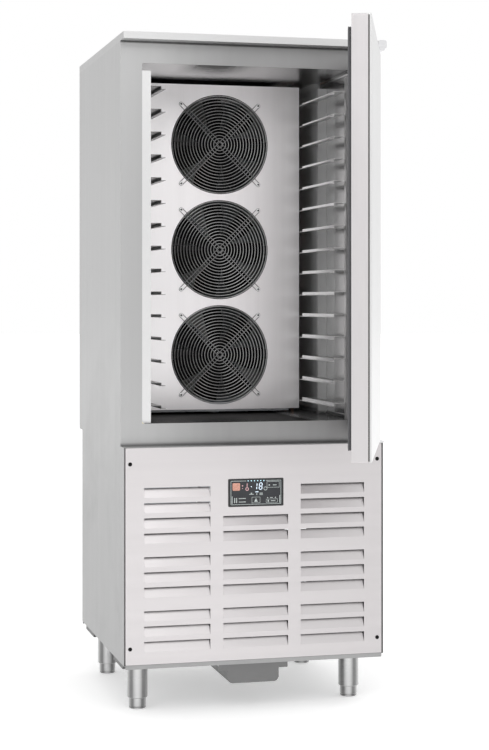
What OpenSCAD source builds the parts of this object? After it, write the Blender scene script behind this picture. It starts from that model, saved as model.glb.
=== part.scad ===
// Upright blast chiller: an insulated tray chamber over a louvred compressor compartment.
// X runs to the right, Y to the back and Z up, in millimetres.
// The origin lies on the floor, in the middle of the area covered with the door open.
// The door hangs on the right and stands ajar, as it is seen.

/* [Cabinet] */
// Width over the side panels
cab_w = 800; // [770:5:900]
// Depth from the front plane to the upper rear panel
cab_d = 815; // [800:5:900]
// Height from the floor to the top of the cap
cab_h = 2015; // [2005:5:2150]
// How far the front plane lies ahead of the origin
front_ahead = 45; // [0:5:100]
// Thickness of the sheet metal
sheet = 1.2; // [0.8:0.1:1.5]
// Height of the band round the top cap
cap_h = 21; // [15:1:30]
// How far the cap and the lower casing stand ahead of the door frame
recess = 53; // [45:1:65]
// Height of the lower casing's top above the floor
lower_top = 794; // [780:1:800]
// How far the lower rear panel is set in from the upper one
rear_setback = 60; // [50:1:80]
// Height of the base plate's top above the floor
base_top = 155; // [150:1:170]
// Height of the lip under the front panel
lip_h = 12; // [6:1:12]

/* [Chamber] */
// Thickness of the side walls
wall_side = 65; // [55:1:70]
// Thickness of the rear wall
wall_back = 60; // [50:1:70]
// Thickness of the chamber's floor
wall_floor = 66; // [60:1:70]
// Thickness of the ceiling under the cap
wall_ceiling = 58; // [50:1:62]
// How far the door frame hangs below the ceiling
frame_drop = 6; // [0:1:10]
// Corner radius of the liner
liner_r = 12; // [6:1:20]

/* [Tray rack] */
// Width of each upright across the chamber
upright_w = 30; // [20:1:34]
// Depth of each upright's channel
upright_d = 18; // [12:1:25]
// Gap between the uprights' tops and the chamber's ceiling
upright_top = 26; // [5:1:40]
// Front uprights' distance behind the door frame
upright_front = 17; // [10:1:30]
// How far the rails run past the front of the rear uprights
rail_over = 58; // [40:1:70]
// Height of the lowest rail's flange above the floor
rail_first = 51; // [45:1:60]
// Distance from one rail to the next
rail_pitch = 68.3; // [60:0.1:80]
// Room kept between the highest rail and the ceiling
rail_headroom = 60; // [50:1:90]
// Gap between the rails' rear ends and the fan panel
rail_gap = 29; // [20:1:40]
// Width of each rail's flange, from the upright to the web
rail_flange = 35; // [25:1:36]
// Height of each rail's web
rail_web = 10; // [8:0.5:14]
// Width of the lip that carries a tray
rail_lip = 13; // [10:0.5:16]

/* [Evaporator fans] */
// Room between the fan panel's front and the chamber's rear wall
fan_room = 298; // [280:1:310]
// Gap between the fan panel and the chamber's side walls
fan_panel_side = 68; // [50:1:80]
// Gap above and below the fan panel
fan_panel_gap = 14; // [8:1:20]
// Depth of the fan panel's folded edge
fan_panel_fold = 25; // [15:1:35]
// Height of the lowest fan's axis above the chamber's floor
fan_first = 190; // [180:1:200]
// Distance from the highest fan's axis to the chamber's ceiling
fan_last = 206; // [196:1:220]
// Distance between neighbouring fan openings
fan_space = 19; // [12:1:40]
// Wire thickness of the guard rings
ring_wire = 2; // [1.6:0.1:3]
// Wire thickness of the guard arms
arm_wire = 2.5; // [2:0.1:4]
// Distance from one guard ring to the next
ring_pitch = 9.9; // [9:0.1:12]
// Distance between the two wires of an arm
arm_gap = 12; // [10:0.5:16]
// Distance from a fan opening's edge to each fixing screw
arm_over = 20.5; // [18:0.5:30]
// Gap between the blade tips and the edge of a fan opening
tip_gap = 10.5; // [8:0.5:20]
// Depth of the blades along the axis
blade_depth = 34; // [26:1:36]
// Number of blades
blades = 7; // [5:1:9]
// Diameter of the hub
hub_d = 96; // [80:1:110]
// Diameter of the fan motors
motor_d = 86; // [70:1:100]
// Length of the fan motors
motor_l = 52; // [40:1:56]
// Radius of the fan shafts
shaft_r = 4; // [3:0.5:6]
// Running clearance of every shaft and pin, on the radius
run_gap = 0.05; // [0.02:0.01:0.09]
// Pitch angle of the blades
blade_pitch = 32; // [24:1:40]
// Radius of the blades' curve
blade_arc = 130; // [110:5:160]
// Thickness of the blades
blade_t = 2; // [1.5:0.1:3]

/* [Door] */
// How far the door's edges lie in from the cabinet's sides
door_side = 5; // [1:0.5:15]
// Gap under the door
door_gap_low = 9; // [7:1:14]
// Gap over the door
door_gap_high = 22; // [18:1:28]
// Thickness of the inner pan
door_pan_t = 44; // [40:1:50]
// Thickness of the thermal break between the pans
door_break_t = 3.5; // [2:0.1:4]
// Thickness of the outer pan's edge
door_skin_t = 5; // [4:0.5:8]
// Depth of the groove that the thermal break leaves
door_groove = 3; // [2:0.5:5]
// Corner radius of the pans
door_r = 3; // [1.5:0.5:5]
// Thickness of the gasket
gasket_t = 10.7; // [8:0.1:12]
// Width of the gasket
gasket_w = 18; // [14:1:20]
// Gasket's distance from the edge of the door
gasket_inset = 26; // [22:1:34]
// Gap between the gasket and the frame with the door shut
seal_gap = 0.3; // [0.2:0.1:0.6]
// Angle at which the door stands open
door_angle = 69.4; // [0:0.1:110]
// Hinge axis's distance from the hinge edge of the door
hinge_in = 12; // [11:0.5:14]
// Hinge axis's distance behind the front plane, less than 0 where it lies ahead of it
hinge_back = -3; // [-3.5:0.5:0]
// Radius of the hinge pins
pin_r = 4; // [3:0.5:4]
// Length of each pin inside the door
pin_l = 24; // [18:1:28]

/* [Louvred front panel] */
// Gap between the panel and the sides of the casing
panel_side_gap = 4; // [1:0.1:5]
// Depth of the panel's folded edge
panel_fold = 15; // [10:1:18]
// Distance from the panel's edges to the outer louvers
louver_margin = 55.5; // [52:0.5:60]
// Gap between neighbouring columns of louvers
louver_space = 39.5; // [36:0.5:50]
// Distance from one louver to the next in a group
louver_row = 44.8; // [42:0.1:46]
// Extra distance between groups of louvers
louver_break = 24.5; // [15:0.5:25]
// Height of a louver's flap
flap_h = 27; // [24:1:34]
// Gap over a louver's flap
flap_gap = 3; // [2:0.5:4]
// How far a louver's flap leans in at its top
flap_in = 11; // [8:0.5:14]
// Upper row's distance below the top of the casing
louver_drop = 119; // [115:0.5:130]
// Panel screws' distance from the casing's sides
screw_side = 19; // [14:1:20]
// Panel screws' distance from the top and bottom of the casing
screw_end = 49; // [40:1:55]
// Diameter of the panel screws' heads
screw_head_d = 12; // [10:0.5:14]

/* [Control panel] */
// Width of the bezel
bezel_w = 170; // [150:1:180]
// Height of the bezel
bezel_h = 83; // [70:1:86]
// Bezel centre's distance below the top of the casing
bezel_drop = 141; // [136:1:150]
// Width of the bezel's rim
bezel_rim = 5; // [4:0.5:6]
// How far the bezel stands out of the panel
bezel_out = 2; // [1:0.5:4]
// Width of a key
key_w = 40; // [30:1:42]
// Height of a key
key_h = 20; // [16:1:22]
// Distance from one key to the next
key_pitch = 49; // [46:1:50]
// Gap round each key
key_gap = 0.3; // [0.2:0.1:0.5]
// How far a key travels
key_travel = 0.6; // [0.4:0.1:0.8]

/* [Legs] */
// Leg axis's distance in from the cabinet's sides
leg_in = 67; // [60:1:80]
// Front leg's distance behind the front plane
leg_front = 137; // [120:1:150]
// Rear leg's distance ahead of the lower rear panel
leg_rear_in = 100; // [90:1:115]
// Diameter of the leg sleeves
sleeve_d = 62; // [58:1:66]
// Height of the sleeves' lower ends above the floor
sleeve_low = 33; // [20:1:40]
// Diameter of the feet
foot_d = 52; // [46:1:54]
// Height of the pad under each foot
pad_h = 5; // [3:1:8]
// Height of the leg plates
leg_plate_h = 17; // [12:1:22]

/* [Drip tray] */
// Width of the tray
tray_w = 158; // [130:1:170]
// Length of the tray
tray_l = 300; // [260:1:320]
// Height of the tray's bottom above the floor
tray_low = 80; // [72:1:90]
// Front of the tray behind the front plane
tray_front = 30; // [20:1:40]
// Width of the tray's front plate
tray_plate_w = 214; // [208:1:230]
// Height of the tray's front plate
tray_plate_h = 21; // [19:1:24]

/* [Compressor compartment] */
// Gap between the condenser and the cabinet's left side
condenser_side = 70; // [60:1:80]
// Height of the condenser
condenser_h = 390; // [360:1:390]
// Depth of the condenser
condenser_d = 66; // [50:1:70]
// Diameter over the condenser fan's blades
condenser_blade_d = 330; // [300:1:340]
// Radius of the compressor's shell
compressor_r = 95; // [85:1:100]
// Radius of the receiver
receiver_r = 55; // [45:1:60]
// Distance from one rear louver to the next
rear_louver_pitch = 24; // [22:1:30]
// How far the rear louvers stand out
rear_louver_out = 25; // [18:1:26]

/* [Hidden] */
$fn = 48;

// Gap that lets a piece seat without pressing on its neighbour
seat = 0.3;
// Gap left between pieces that are welded or clamped together
weld_gap = 0.05;

// Outer planes of the cabinet
hw = cab_w / 2;
cap_z = cab_h - cap_h;
skin_y = recess + sheet;
rear_y = cab_d - rear_setback;
side_z = base_top - sheet;

// Chamber
chamber_hw = hw - wall_side;
chamber_y = cab_d - wall_back;
chamber_z0 = lower_top + wall_floor;
chamber_z1 = cap_z - wall_ceiling;
chamber_h = chamber_z1 - chamber_z0;
chamber_mid = (chamber_z0 + chamber_z1) / 2;

// Tray rack
upright_y = recess + upright_front;
rail_y = upright_y + upright_d - 3;
panel_y = chamber_y - fan_room;
rail_l = panel_y - rail_gap - rail_y;
rail_count = floor((chamber_h - rail_first - rail_headroom) / rail_pitch) + 1;
rail_side = chamber_hw - upright_w;
web_x = rail_side - rail_flange;

// Evaporator fans
hub_wall = 3;
motor_off = 8;
shaft_in = 24;
fan_panel_w = 2 * (chamber_hw - fan_panel_side);
fan_pitch = (chamber_h - fan_first - fan_last) / 2;
fan_hole_d = fan_pitch - fan_space;
arm_reach = fan_hole_d / 2 + arm_over;
blade_d = fan_hole_d - 2 * tip_gap;
fan_z = [for (i = [0 : 2]) chamber_z0 + fan_first + i * fan_pitch];
ring_n = floor((fan_hole_d / 2 - 10) / ring_pitch);
fan_y = panel_y + 14;
motor_y = fan_y + blade_depth + motor_off;
coil_gap = 50;
coil_d = 110;
coil_y = chamber_y - coil_d - 35;
coil_w = 2 * (chamber_hw - 100);
coil_cols = 3;
coil_z = chamber_z0 + coil_gap;
coil_h = chamber_h - 2 * coil_gap;
fin_pitch = 9;
fin_t = 0.9;
core_t = 4;
stub_edge = 12;
stub_l = 36;

// Drain and refrigerant lines
drain_y = chamber_y - 210;
drain_r = 11;
drain_out_y = tray_front + 150;
pipe_y = chamber_y - 50;
pipe_x = [chamber_hw - 47, chamber_hw - 20];
pipe_r = 6;
bore_gap = 0.1;

// Door, shut
door_w = cab_w - 2 * door_side;
door_y1 = recess - seal_gap - gasket_t;
door_break_y = door_y1 - door_pan_t;
door_skin_y = door_break_y - door_break_t;
door_y0 = door_skin_y - door_skin_t;
break_w = 25;
door_z0 = lower_top + door_gap_low;
door_z1 = cap_z - door_gap_high;
door_h = door_z1 - door_z0;
door_mid = (door_z0 + door_z1) / 2;
hinge_x = door_w / 2 - hinge_in;
bush_r = pin_r + 2;
bush_l = pin_l + 4;

// Louvred front panel
panel_hw = hw - sheet - panel_side_gap;
panel_z0 = base_top + 0.8;
panel_z1 = lower_top - sheet - 0.8;
flange_y = panel_fold;
louver_groups = [4, 3, 3];
louver_w = (2 * panel_hw - 2 * louver_margin - 2 * louver_space) / 3;
louver_col = louver_w + louver_space;
control_z = lower_top - bezel_drop;
glass_w = bezel_w - 2 * bezel_rim;
glass_h = bezel_h - 2 * bezel_rim;
key_z = control_z - glass_h / 2 + key_h / 2 + 4;

// Legs, feet and drip tray
leg_x = hw - leg_in;
leg_rear = rear_y - leg_rear_in;
plate_z = side_z - leg_plate_h;
foot_r = foot_d / 2;
foot_top = plate_z - 30;
tray_top = side_z - 22;

// Compressor compartment
machine_in = 195;
machine_y = rear_y - machine_in;
compressor_in = 200;
compressor_at = [-hw + compressor_in, machine_y, base_top];
compressor_port = 150;
compressor_h = 235;
receiver_in = 165;
receiver_at = [hw - receiver_in, machine_y, base_top];
receiver_h = 260;
liquid_rise = 145;
riser_x = receiver_at[0] - 73;
condenser_x0 = -hw + condenser_side;
condenser_x1 = riser_x - 16 - stub_l;
condenser_w = condenser_x1 - condenser_x0;
condenser_x = (condenser_x0 + condenser_x1) / 2;
condenser_cols = 2;
condenser_y = 74;
condenser_z = base_top + 42;
shroud_y = condenser_y + condenser_d + 10;
condenser_mid = condenser_z + condenser_h / 2;
condenser_fan_y = shroud_y + 4;
condenser_blade_depth = 32;

// Block between two corners
module block(x0, x1, y0, y1, z0, z1) {
    translate([x0, y0, z0]) cube([x1 - x0, y1 - y0, z1 - z0]);
}

// Outline drawn in X and Z, drawn out from y0 to y1
module along_y(y0, y1) {
    translate([0, y1, 0]) rotate([90, 0, 0]) linear_extrude(y1 - y0) children();
}

// Outline drawn in Y and Z, drawn out from x0 to x1
module along_x(x0, x1) {
    translate([x0, 0, 0]) rotate([90, 0, 90]) linear_extrude(x1 - x0) children();
}

// Moves a piece from the front plane's frame to the origin's
module at_front() {
    translate([0, -front_ahead, 0]) children();
}

// The piece and its mirror image across the cabinet
module both_sides() {
    children();
    mirror([1, 0, 0]) children();
}

// Rectangle about its middle with round corners
module round_rect(w, h, r) {
    square([w - 2 * r, h], center = true);
    square([w, h - 2 * r], center = true);
    for (x = [-1, 1], z = [-1, 1])
        translate([x * (w / 2 - r), z * (h / 2 - r)]) circle(r);
}

// Ring between two rectangles with one centre
module rect_ring(w, h, r, t) {
    difference() {
        round_rect(w, h, r);
        round_rect(w - 2 * t, h - 2 * t, max(r - t, 0.3));
    }
}

// Sets a local frame with its X and Y along the two given directions
module frame_at(o, ex, ey) {
    ez = cross(ex, ey);
    multmatrix([
        [ex[0], ey[0], ez[0], o[0]],
        [ex[1], ey[1], ez[1], o[1]],
        [ex[2], ey[2], ez[2], o[2]],
        [0, 0, 0, 1]
    ]) children();
}

// Direction from one point to the next
function heading(a, b) = (b - a) / norm(b - a);

// Round bar through corners that lie square to each other, with a bend at each corner
module bent_bar(pts, r, bend) {
    last = len(pts) - 1;
    for (i = [0 : last - 1]) {
        u = heading(pts[i], pts[i + 1]);
        a = pts[i] + (i > 0 ? bend : 0) * u;
        b = pts[i + 1] - (i + 1 < last ? bend : 0) * u;
        p = abs(u[2]) > 0.5 ? [1, 0, 0] : [0, 0, 1];
        frame_at(a, p, cross(u, p)) cylinder(r = r, h = norm(b - a));
    }
    for (i = [1 : 1 : last - 1]) {
        u = heading(pts[i - 1], pts[i]);
        v = heading(pts[i], pts[i + 1]);
        frame_at(pts[i] - bend * u + bend * v, -v, u)
            rotate_extrude(angle = 90) translate([bend, 0]) circle(r);
    }
}

// Upper body ------------------------------------------------------------

// Left side panel: full height, with a step at the lower rear and folded returns
module side_panel() {
    fold = 20;
    along_x(-hw, -hw + sheet)
        polygon([
            [skin_y, side_z], [rear_y, side_z], [rear_y, lower_top],
            [cab_d - sheet, lower_top], [cab_d - sheet, cap_z], [skin_y, cap_z]
        ]);
    block(-hw, -hw + fold, skin_y, skin_y + sheet, base_top, lower_top);
    block(-hw, -hw + fold, rear_y - sheet, rear_y, base_top, lower_top);
}

module left_side_panel() {
    color("silver") at_front() side_panel();
}

module right_side_panel() {
    color("silver") at_front() mirror([1, 0, 0]) side_panel();
}

// Rounded block of the upper hinge, at the cap's front right corner
module hinge_block() {
    along_y(-3, 40) translate([hw - 2, cap_z + 10]) round_rect(26, 26, 7);
}

module top_cap() {
    color("gainsboro") at_front() difference() {
        block(-hw, hw, 0, cab_d, cap_z, cab_h);
        block(-hw + sheet, hw - sheet, sheet, cab_d - sheet, cap_z + sheet, cab_h - sheet);
        block(-hw + sheet, hw - sheet, skin_y, cab_d - sheet, cap_z - 1, cab_h - sheet);
        hinge_block();
    }
}

module back_panel() {
    color("silver") at_front() {
        block(-hw, hw, cab_d - sheet, cab_d, lower_top, cap_z);
    }
}

// Face frame round the chamber's mouth
module front_frame() {
    mouth_z1 = chamber_z1 - frame_drop;
    color("darkgray") at_front() along_y(recess, skin_y) difference() {
        translate([-hw, lower_top]) square([cab_w, cap_z - lower_top]);
        translate([0, (chamber_z0 + mouth_z1) / 2])
            round_rect(2 * chamber_hw, mouth_z1 - chamber_z0, 4);
    }
}

// Section of the chamber, grown outwards
module chamber_section(grow) {
    translate([0, chamber_mid])
        round_rect(2 * (chamber_hw + grow), chamber_h + 2 * grow, liner_r + grow);
}

// Bores for the drain and the two refrigerant pipes, from the chamber down
module floor_bores() {
    h = wall_floor + 2;
    translate([0, drain_y, lower_top - 1]) cylinder(r = drain_r + bore_gap, h = h);
    for (x = pipe_x)
        translate([x, pipe_y, lower_top - 1]) cylinder(r = pipe_r, h = h);
}

module chamber_liner() {
    color("whitesmoke") at_front() difference() {
        along_y(skin_y, chamber_y + sheet) chamber_section(sheet);
        along_y(skin_y - 1, chamber_y) chamber_section(0);
        floor_bores();
    }
}

module insulation_foam() {
    color("khaki") at_front() difference() {
        block(-hw + sheet, hw - sheet, skin_y, cab_d - sheet, lower_top + sheet, cab_h - sheet);
        along_y(skin_y - 1, chamber_y + sheet) chamber_section(sheet);
        floor_bores();
        hinge_block();
    }
}

// Skin between the insulated body and the compressor compartment
module compartment_ceiling() {
    color("silver") at_front() difference() {
        block(-hw + sheet, hw - sheet, skin_y, cab_d - sheet, lower_top, lower_top + sheet);
        floor_bores();
    }
}

// Tray rack -------------------------------------------------------------

// Channel that stands on the chamber's floor, open to the wall
module upright(y) {
    intersection() {
        translate([0, 0, chamber_z0]) linear_extrude(chamber_h - upright_top) {
            translate([-chamber_hw, y]) square([upright_w, sheet]);
            translate([-rail_side - sheet, y]) square([sheet, upright_d]);
            translate([-chamber_hw, y]) square([2 * sheet, upright_d]);
        }
        along_y(y - 1, y + upright_d + 1) chamber_section(-seat);
    }
}

module rack_uprights() {
    color("gainsboro") at_front() both_sides() {
        upright(upright_y);
        upright(rail_y + rail_l - rail_over);
    }
}

// Rail with a flange to the upright, a web and a lip under the tray
module rail(z) {
    along_y(rail_y, rail_y + rail_l) translate([0, z]) polygon([
        [-rail_side, 0], [-web_x, 0], [-web_x, sheet - rail_web],
        [-web_x + rail_lip, sheet - rail_web], [-web_x + rail_lip, -rail_web],
        [-web_x - sheet, -rail_web], [-web_x - sheet, -sheet], [-rail_side, -sheet]
    ]);
}

module rail_set() {
    for (i = [0 : rail_count - 1])
        rail(chamber_z0 + rail_first + i * rail_pitch);
}

module left_rails() {
    color("lightgray") at_front() rail_set();
}

module right_rails() {
    color("lightgray") at_front() mirror([1, 0, 0]) rail_set();
}

// Evaporator fans ---------------------------------------------------------

// Folded panel in front of the coil, carried by four plates that stand out from the coil's ends
module fan_panel() {
    z0 = chamber_z0 + fan_panel_gap;
    z1 = chamber_z1 - fan_panel_gap;
    h = z1 - z0;
    mid = (z0 + z1) / 2;
    color("gainsboro") at_front() difference() {
        union() {
            along_y(panel_y, panel_y + sheet)
                translate([0, mid]) round_rect(fan_panel_w, h, 2);
            along_y(panel_y, panel_y + fan_panel_fold)
                translate([0, mid]) rect_ring(fan_panel_w, h, 2, sheet);
            both_sides() for (z = [fan_z[0], fan_z[2]])
                block(-coil_w / 2, -coil_w / 2 + sheet, panel_y, coil_y, z - 30, z + 30);
        }
        for (z = fan_z)
            translate([0, panel_y - 1, z]) rotate([-90, 0, 0])
                cylinder(d = fan_hole_d, h = sheet + 2, $fn = 96);
        for (z = fan_z) guard_screw_places(z)
            cylinder(r = 2, h = 10, center = true);
    }
}

// Places children at the four screws of one guard, with Z along the screw to the back
module guard_screw_places(z) {
    for (a = [45 : 90 : 315])
        translate([arm_reach * cos(a), panel_y, z + arm_reach * sin(a)])
            rotate([-90, 0, 0]) children();
}

// Hairpin of wire across the guard, with an eye round the screw at each end
module guard_arm(a) {
    rotate([0, 0, a]) {
        for (y = [-arm_gap / 2, arm_gap / 2])
            translate([-arm_reach, y, 0]) rotate([0, 90, 0])
                cylinder(d = arm_wire, h = 2 * arm_reach, $fn = 24);
        for (s = [0, 180])
            rotate([0, 0, s]) translate([arm_reach, 0, 0]) rotate([0, 0, -90])
                rotate_extrude(angle = 180) translate([arm_gap / 2, 0])
                    circle(d = arm_wire, $fn = 24);
    }
}

// Wire guard: concentric rings in the opening, welded behind two crossed arms
module fan_guard() {
    radii = [for (i = [1 : ring_n]) i * ring_pitch];
    for (a = [45, 135]) guard_arm(a);
    translate([0, 0, -arm_wire / 2 - ring_wire / 2 - weld_gap])
        for (r = concat(radii, [fan_hole_d / 2 - 3.5]))
            rotate_extrude($fn = 72) translate([r, 0]) circle(d = ring_wire, $fn = 8);
}

module fan_guards() {
    color("silver") at_front() for (z = fan_z)
        translate([0, panel_y - arm_wire / 2 - weld_gap, z]) rotate([90, 0, 0]) fan_guard();
}

module guard_screws() {
    washer_t = 1;
    head_h = 2.2;
    front = -arm_wire - 2 * weld_gap - washer_t;
    color("dimgray") at_front() for (z = fan_z) guard_screw_places(z) translate([0, 0, front]) {
        cylinder(r = arm_gap / 2 + 0.2, h = washer_t);
        translate([0, 0, -head_h]) intersection() {
            cylinder(r = 3.2, h = head_h + 0.1);
            translate([0, 0, 4]) sphere(4);
        }
        cylinder(r = 1.95, h = 9 - front);
    }
}

// Front outline of a blade: a sector between the hub and the tip circle, swept back a little
module blade_outline(d, root_r) {
    difference() {
        intersection() {
            circle(d = d, $fn = 96);
            polygon([
                [0, 0], [root_r, -root_r * 0.42], [d / 2, -d * 0.16], [d * 0.6, 0],
                [d / 2, d * 0.24], [root_r, root_r * 0.42]
            ]);
        }
        circle(root_r, $fn = 96);
    }
}

// Cambered blade that springs from the hub, cut from a thin arched sheet
module blade(d, root_r, depth) {
    intersection() {
        rotate([0, 90, 0]) rotate([0, 0, 90]) linear_extrude(d / 2 + 1)
            translate([blade_arc * sin(blade_pitch), depth / 2 - blade_arc * cos(blade_pitch)])
                difference() {
                    circle(blade_arc + blade_t / 2, $fn = 120);
                    circle(blade_arc - blade_t / 2, $fn = 120);
                }
        linear_extrude(depth) blade_outline(d, root_r);
    }
}

// Axial impeller about Z, with its nose at the origin and its shaft running into the motor
module impeller(d, hub, depth, n) {
    difference() {
        union() {
            cylinder(d = hub, h = depth);
            for (i = [0 : n - 1]) rotate([0, 0, i * 360 / n]) blade(d, hub / 2 - 1, depth);
        }
        translate([0, 0, hub_wall]) cylinder(d = hub - 2 * hub_wall, h = depth);
    }
    cylinder(r = shaft_r + 5, h = depth);
    cylinder(r = shaft_r, h = depth + motor_off + shaft_in - 1);
}

module evaporator_impeller(i) {
    color("black") at_front() translate([0, fan_y, fan_z[i]]) rotate([-90, 0, 0])
        impeller(blade_d, hub_d, blade_depth, blades);
}

module impeller_lower() {
    evaporator_impeller(0);
}

module impeller_middle() {
    evaporator_impeller(1);
}

module impeller_upper() {
    evaporator_impeller(2);
}

// Motor can about Z with a bored nose
module motor_can(d, l) {
    difference() {
        union() {
            cylinder(d = d, h = l);
            translate([0, 0, -5]) cylinder(d = d * 0.35, h = 5.5);
            for (z = [l * 0.2 : l * 0.15 : l * 0.85])
                translate([0, 0, z]) cylinder(d = d + 4, h = 2);
        }
        translate([0, 0, -6]) cylinder(r = shaft_r + run_gap, h = 6 + shaft_in);
    }
}

// Fan motor with the strap that carries it behind the fan panel
module fan_motor(z) {
    strap_x = fan_hole_d / 2 + 10;
    strap_y = motor_y + motor_l;
    translate([0, motor_y, z]) rotate([-90, 0, 0]) motor_can(motor_d, motor_l);
    block(-strap_x, strap_x, strap_y, strap_y + 3, z - 16, z + 16);
    both_sides() {
        block(-strap_x, -strap_x + 3, panel_y + sheet, strap_y + 3, z - 16, z + 16);
        block(-strap_x - 15, -strap_x, panel_y + sheet, panel_y + sheet + 3, z - 16, z + 16);
    }
}

module fan_motors() {
    color("dimgray") at_front() for (z = fan_z) fan_motor(z);
}

// Outline of a fin pack seen from above: fins on both sides of a thin core
module fin_comb(w, d) {
    deep = (d - core_t) / 2;
    difference() {
        square([w, d]);
        for (x = [fin_pitch : fin_pitch : w - fin_pitch], y = [-1, d - deep])
            translate([x, y]) square([fin_pitch - fin_t, deep + 1]);
    }
}

// Return bend between two tubes of a coil, standing off its end plate towards -X
module return_bend(span) {
    for (z = [-span / 2, span / 2])
        translate([-8, 0, z]) rotate([0, 90, 0]) cylinder(r = 5, h = 8 - weld_gap, $fn = 12);
    translate([-8, 0, 0]) rotate([90, 0, 0]) rotate([0, 0, 90])
        rotate_extrude(angle = 180) translate([span / 2, 0]) circle(5, $fn = 12);
}

// Finned coil about its lower front left corner, with its two connecting stubs on the right
module finned_coil(w, h, d, rows, cols) {
    row_step = h / rows;
    linear_extrude(h) fin_comb(w, d);
    for (r = [0 : 2 : rows - 2], c = [0 : cols - 1])
        translate([0, d * (c + 0.5) / cols, row_step * (r + 1)]) {
            return_bend(row_step);
            translate([w, 0, 0]) mirror([1, 0, 0]) return_bend(row_step);
        }
    for (z = [stub_edge, h - stub_edge])
        translate([w + weld_gap, d / cols, z]) rotate([0, 90, 0]) cylinder(r = pipe_r, h = stub_l);
}

module evaporator_coil() {
    color("lightsteelblue") at_front() {
        translate([-coil_w / 2, coil_y, coil_z])
            finned_coil(coil_w, coil_h, coil_d, 16, coil_cols);
        both_sides()
            block(-coil_w / 2, -coil_w / 2 + 2, coil_y + coil_d, chamber_y, coil_z,
                coil_z + coil_h);
    }
}

// Sloping pan that leads the meltwater to the drain
module evaporator_drain_pan() {
    pan_w = coil_w + 20;
    y0 = drain_y - 40;
    z0 = chamber_z0 + 4;
    color("lightgray") at_front() difference() {
        union() {
            block(-pan_w / 2, pan_w / 2, y0, chamber_y - 2, z0, z0 + 30);
            translate([0, drain_y, chamber_z0]) cylinder(r = drain_r + 6, h = 5);
        }
        along_x(-pan_w / 2 + sheet, pan_w / 2 - sheet)
            polygon([
                [y0 + sheet, z0 + sheet], [y0 + 70, z0 + sheet],
                [chamber_y - 2 - sheet, z0 + 14], [chamber_y - 2 - sheet, z0 + 31],
                [y0 + sheet, z0 + 31]
            ]);
        translate([0, drain_y, chamber_z0 - 1]) cylinder(r = drain_r - 2, h = 20);
    }
}

module drain_pipe() {
    run_z = base_top + 20;
    color("gray") at_front() difference() {
        bent_bar([[0, drain_y, chamber_z0 - 0.2], [0, drain_y, run_z],
            [0, drain_out_y, run_z], [0, drain_out_y, tray_top + 4]], drain_r, 16);
        bent_bar([[0, drain_y, chamber_z0 + 1], [0, drain_y, run_z],
            [0, drain_out_y, run_z], [0, drain_out_y, tray_top + 3]], drain_r - 2, 16);
    }
}

// Lower casing ------------------------------------------------------------

// Hood ahead of the side panels, with flanges that take the panel screws
module lower_casing() {
    color("silver") at_front() {
        block(-hw, hw, 0, skin_y, lower_top - sheet, lower_top);
        difference() {
            both_sides() {
                block(-hw, -hw + sheet, 0, skin_y, side_z, lower_top - sheet);
                block(-hw, -hw + 34, flange_y, flange_y + sheet, base_top, lower_top);
            }
            panel_screw_places() cylinder(r = 3, h = 40);
        }
    }
}

// Places children at the four panel screws, with Z running into the cabinet
module panel_screw_places() {
    for (x = [-1, 1], z = [side_z + screw_end, lower_top - screw_end])
        translate([x * (hw - screw_side), 0, z]) rotate([-90, 0, 0]) children();
}

// Height of the top of each louver row, from the top row down
function row_z(i) = lower_top - louver_drop - i * louver_row
    - louver_break * ((i > 3 ? 1 : 0) + (i > 6 ? 1 : 0));
louver_rows = louver_groups[0] + louver_groups[1] + louver_groups[2];

// Calls children at the top middle of each louver; the middle column leaves out two rows
module louver_places() {
    for (c = [-1 : 1], i = [c == 0 ? 2 : 0 : louver_rows - 1])
        translate([c * louver_col, 0, row_z(i)]) children();
}

module louver_hole() {
    h = flap_h + flap_gap;
    block(-louver_w / 2, louver_w / 2, -1, sheet + 1, -h, 0);
}

// Pressed flap: flush at its foot, leaning in at its top
module louver_flap() {
    foot = -flap_h - flap_gap;
    top = -flap_gap;
    along_x(-louver_w / 2 + 0.6, louver_w / 2 - 0.6)
        polygon([
            [0, foot - 0.6], [sheet, foot - 0.6], [sheet + 0.6, foot + 1],
            [flap_in + sheet, top], [flap_in, top], [0, foot]
        ]);
}

module louvred_front_panel() {
    h = panel_z1 - panel_z0;
    mid = (panel_z0 + panel_z1) / 2;
    color("whitesmoke") at_front() {
        difference() {
            union() {
                along_y(0, sheet) translate([0, mid]) round_rect(2 * panel_hw, h, 2);
                along_y(0, panel_fold)
                    translate([0, mid]) rect_ring(2 * panel_hw, h, 2, sheet);
            }
            louver_places() louver_hole();
            panel_screw_places() cylinder(r = 3, h = 3 * sheet, center = true);
            block(-bezel_w / 2 + 2, bezel_w / 2 - 2, -1, sheet + 1,
                control_z - bezel_h / 2 + 2, control_z + bezel_h / 2 - 2);
        }
        louver_places() louver_flap();
    }
}

module front_panel_screws() {
    color("black") at_front() panel_screw_places() {
        translate([0, 0, -3.2]) intersection() {
            cylinder(d = screw_head_d, h = 3.1);
            translate([0, 0, 8]) sphere(screw_head_d * 0.75);
        }
        translate([0, 0, -0.2]) cylinder(r = 2.9, h = flange_y + 8);
    }
}

module control_bezel() {
    color("black") at_front() translate([0, 0, control_z]) {
        along_y(-bezel_out, 0) rect_ring(bezel_w, bezel_h, 3, bezel_rim);
        along_y(-0.5, 12) rect_ring(bezel_w - 5, bezel_h - 5, 2, bezel_rim - 2.5);
    }
}

// Calls children at the three keys, left to right
module key_place(i) {
    translate([i * key_pitch, 0, key_z]) children();
}

module control_glass() {
    front = -bezel_out + 0.8;
    color("midnightblue") at_front() difference() {
        along_y(front, front + 2) translate([0, control_z])
            round_rect(glass_w - 0.2, glass_h - 0.2, 1);
        for (i = [-1 : 1]) key_place(i)
            along_y(front - 1, front + 3) round_rect(key_w + 2 * key_gap, key_h + 2 * key_gap, 2);
    }
}

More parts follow.
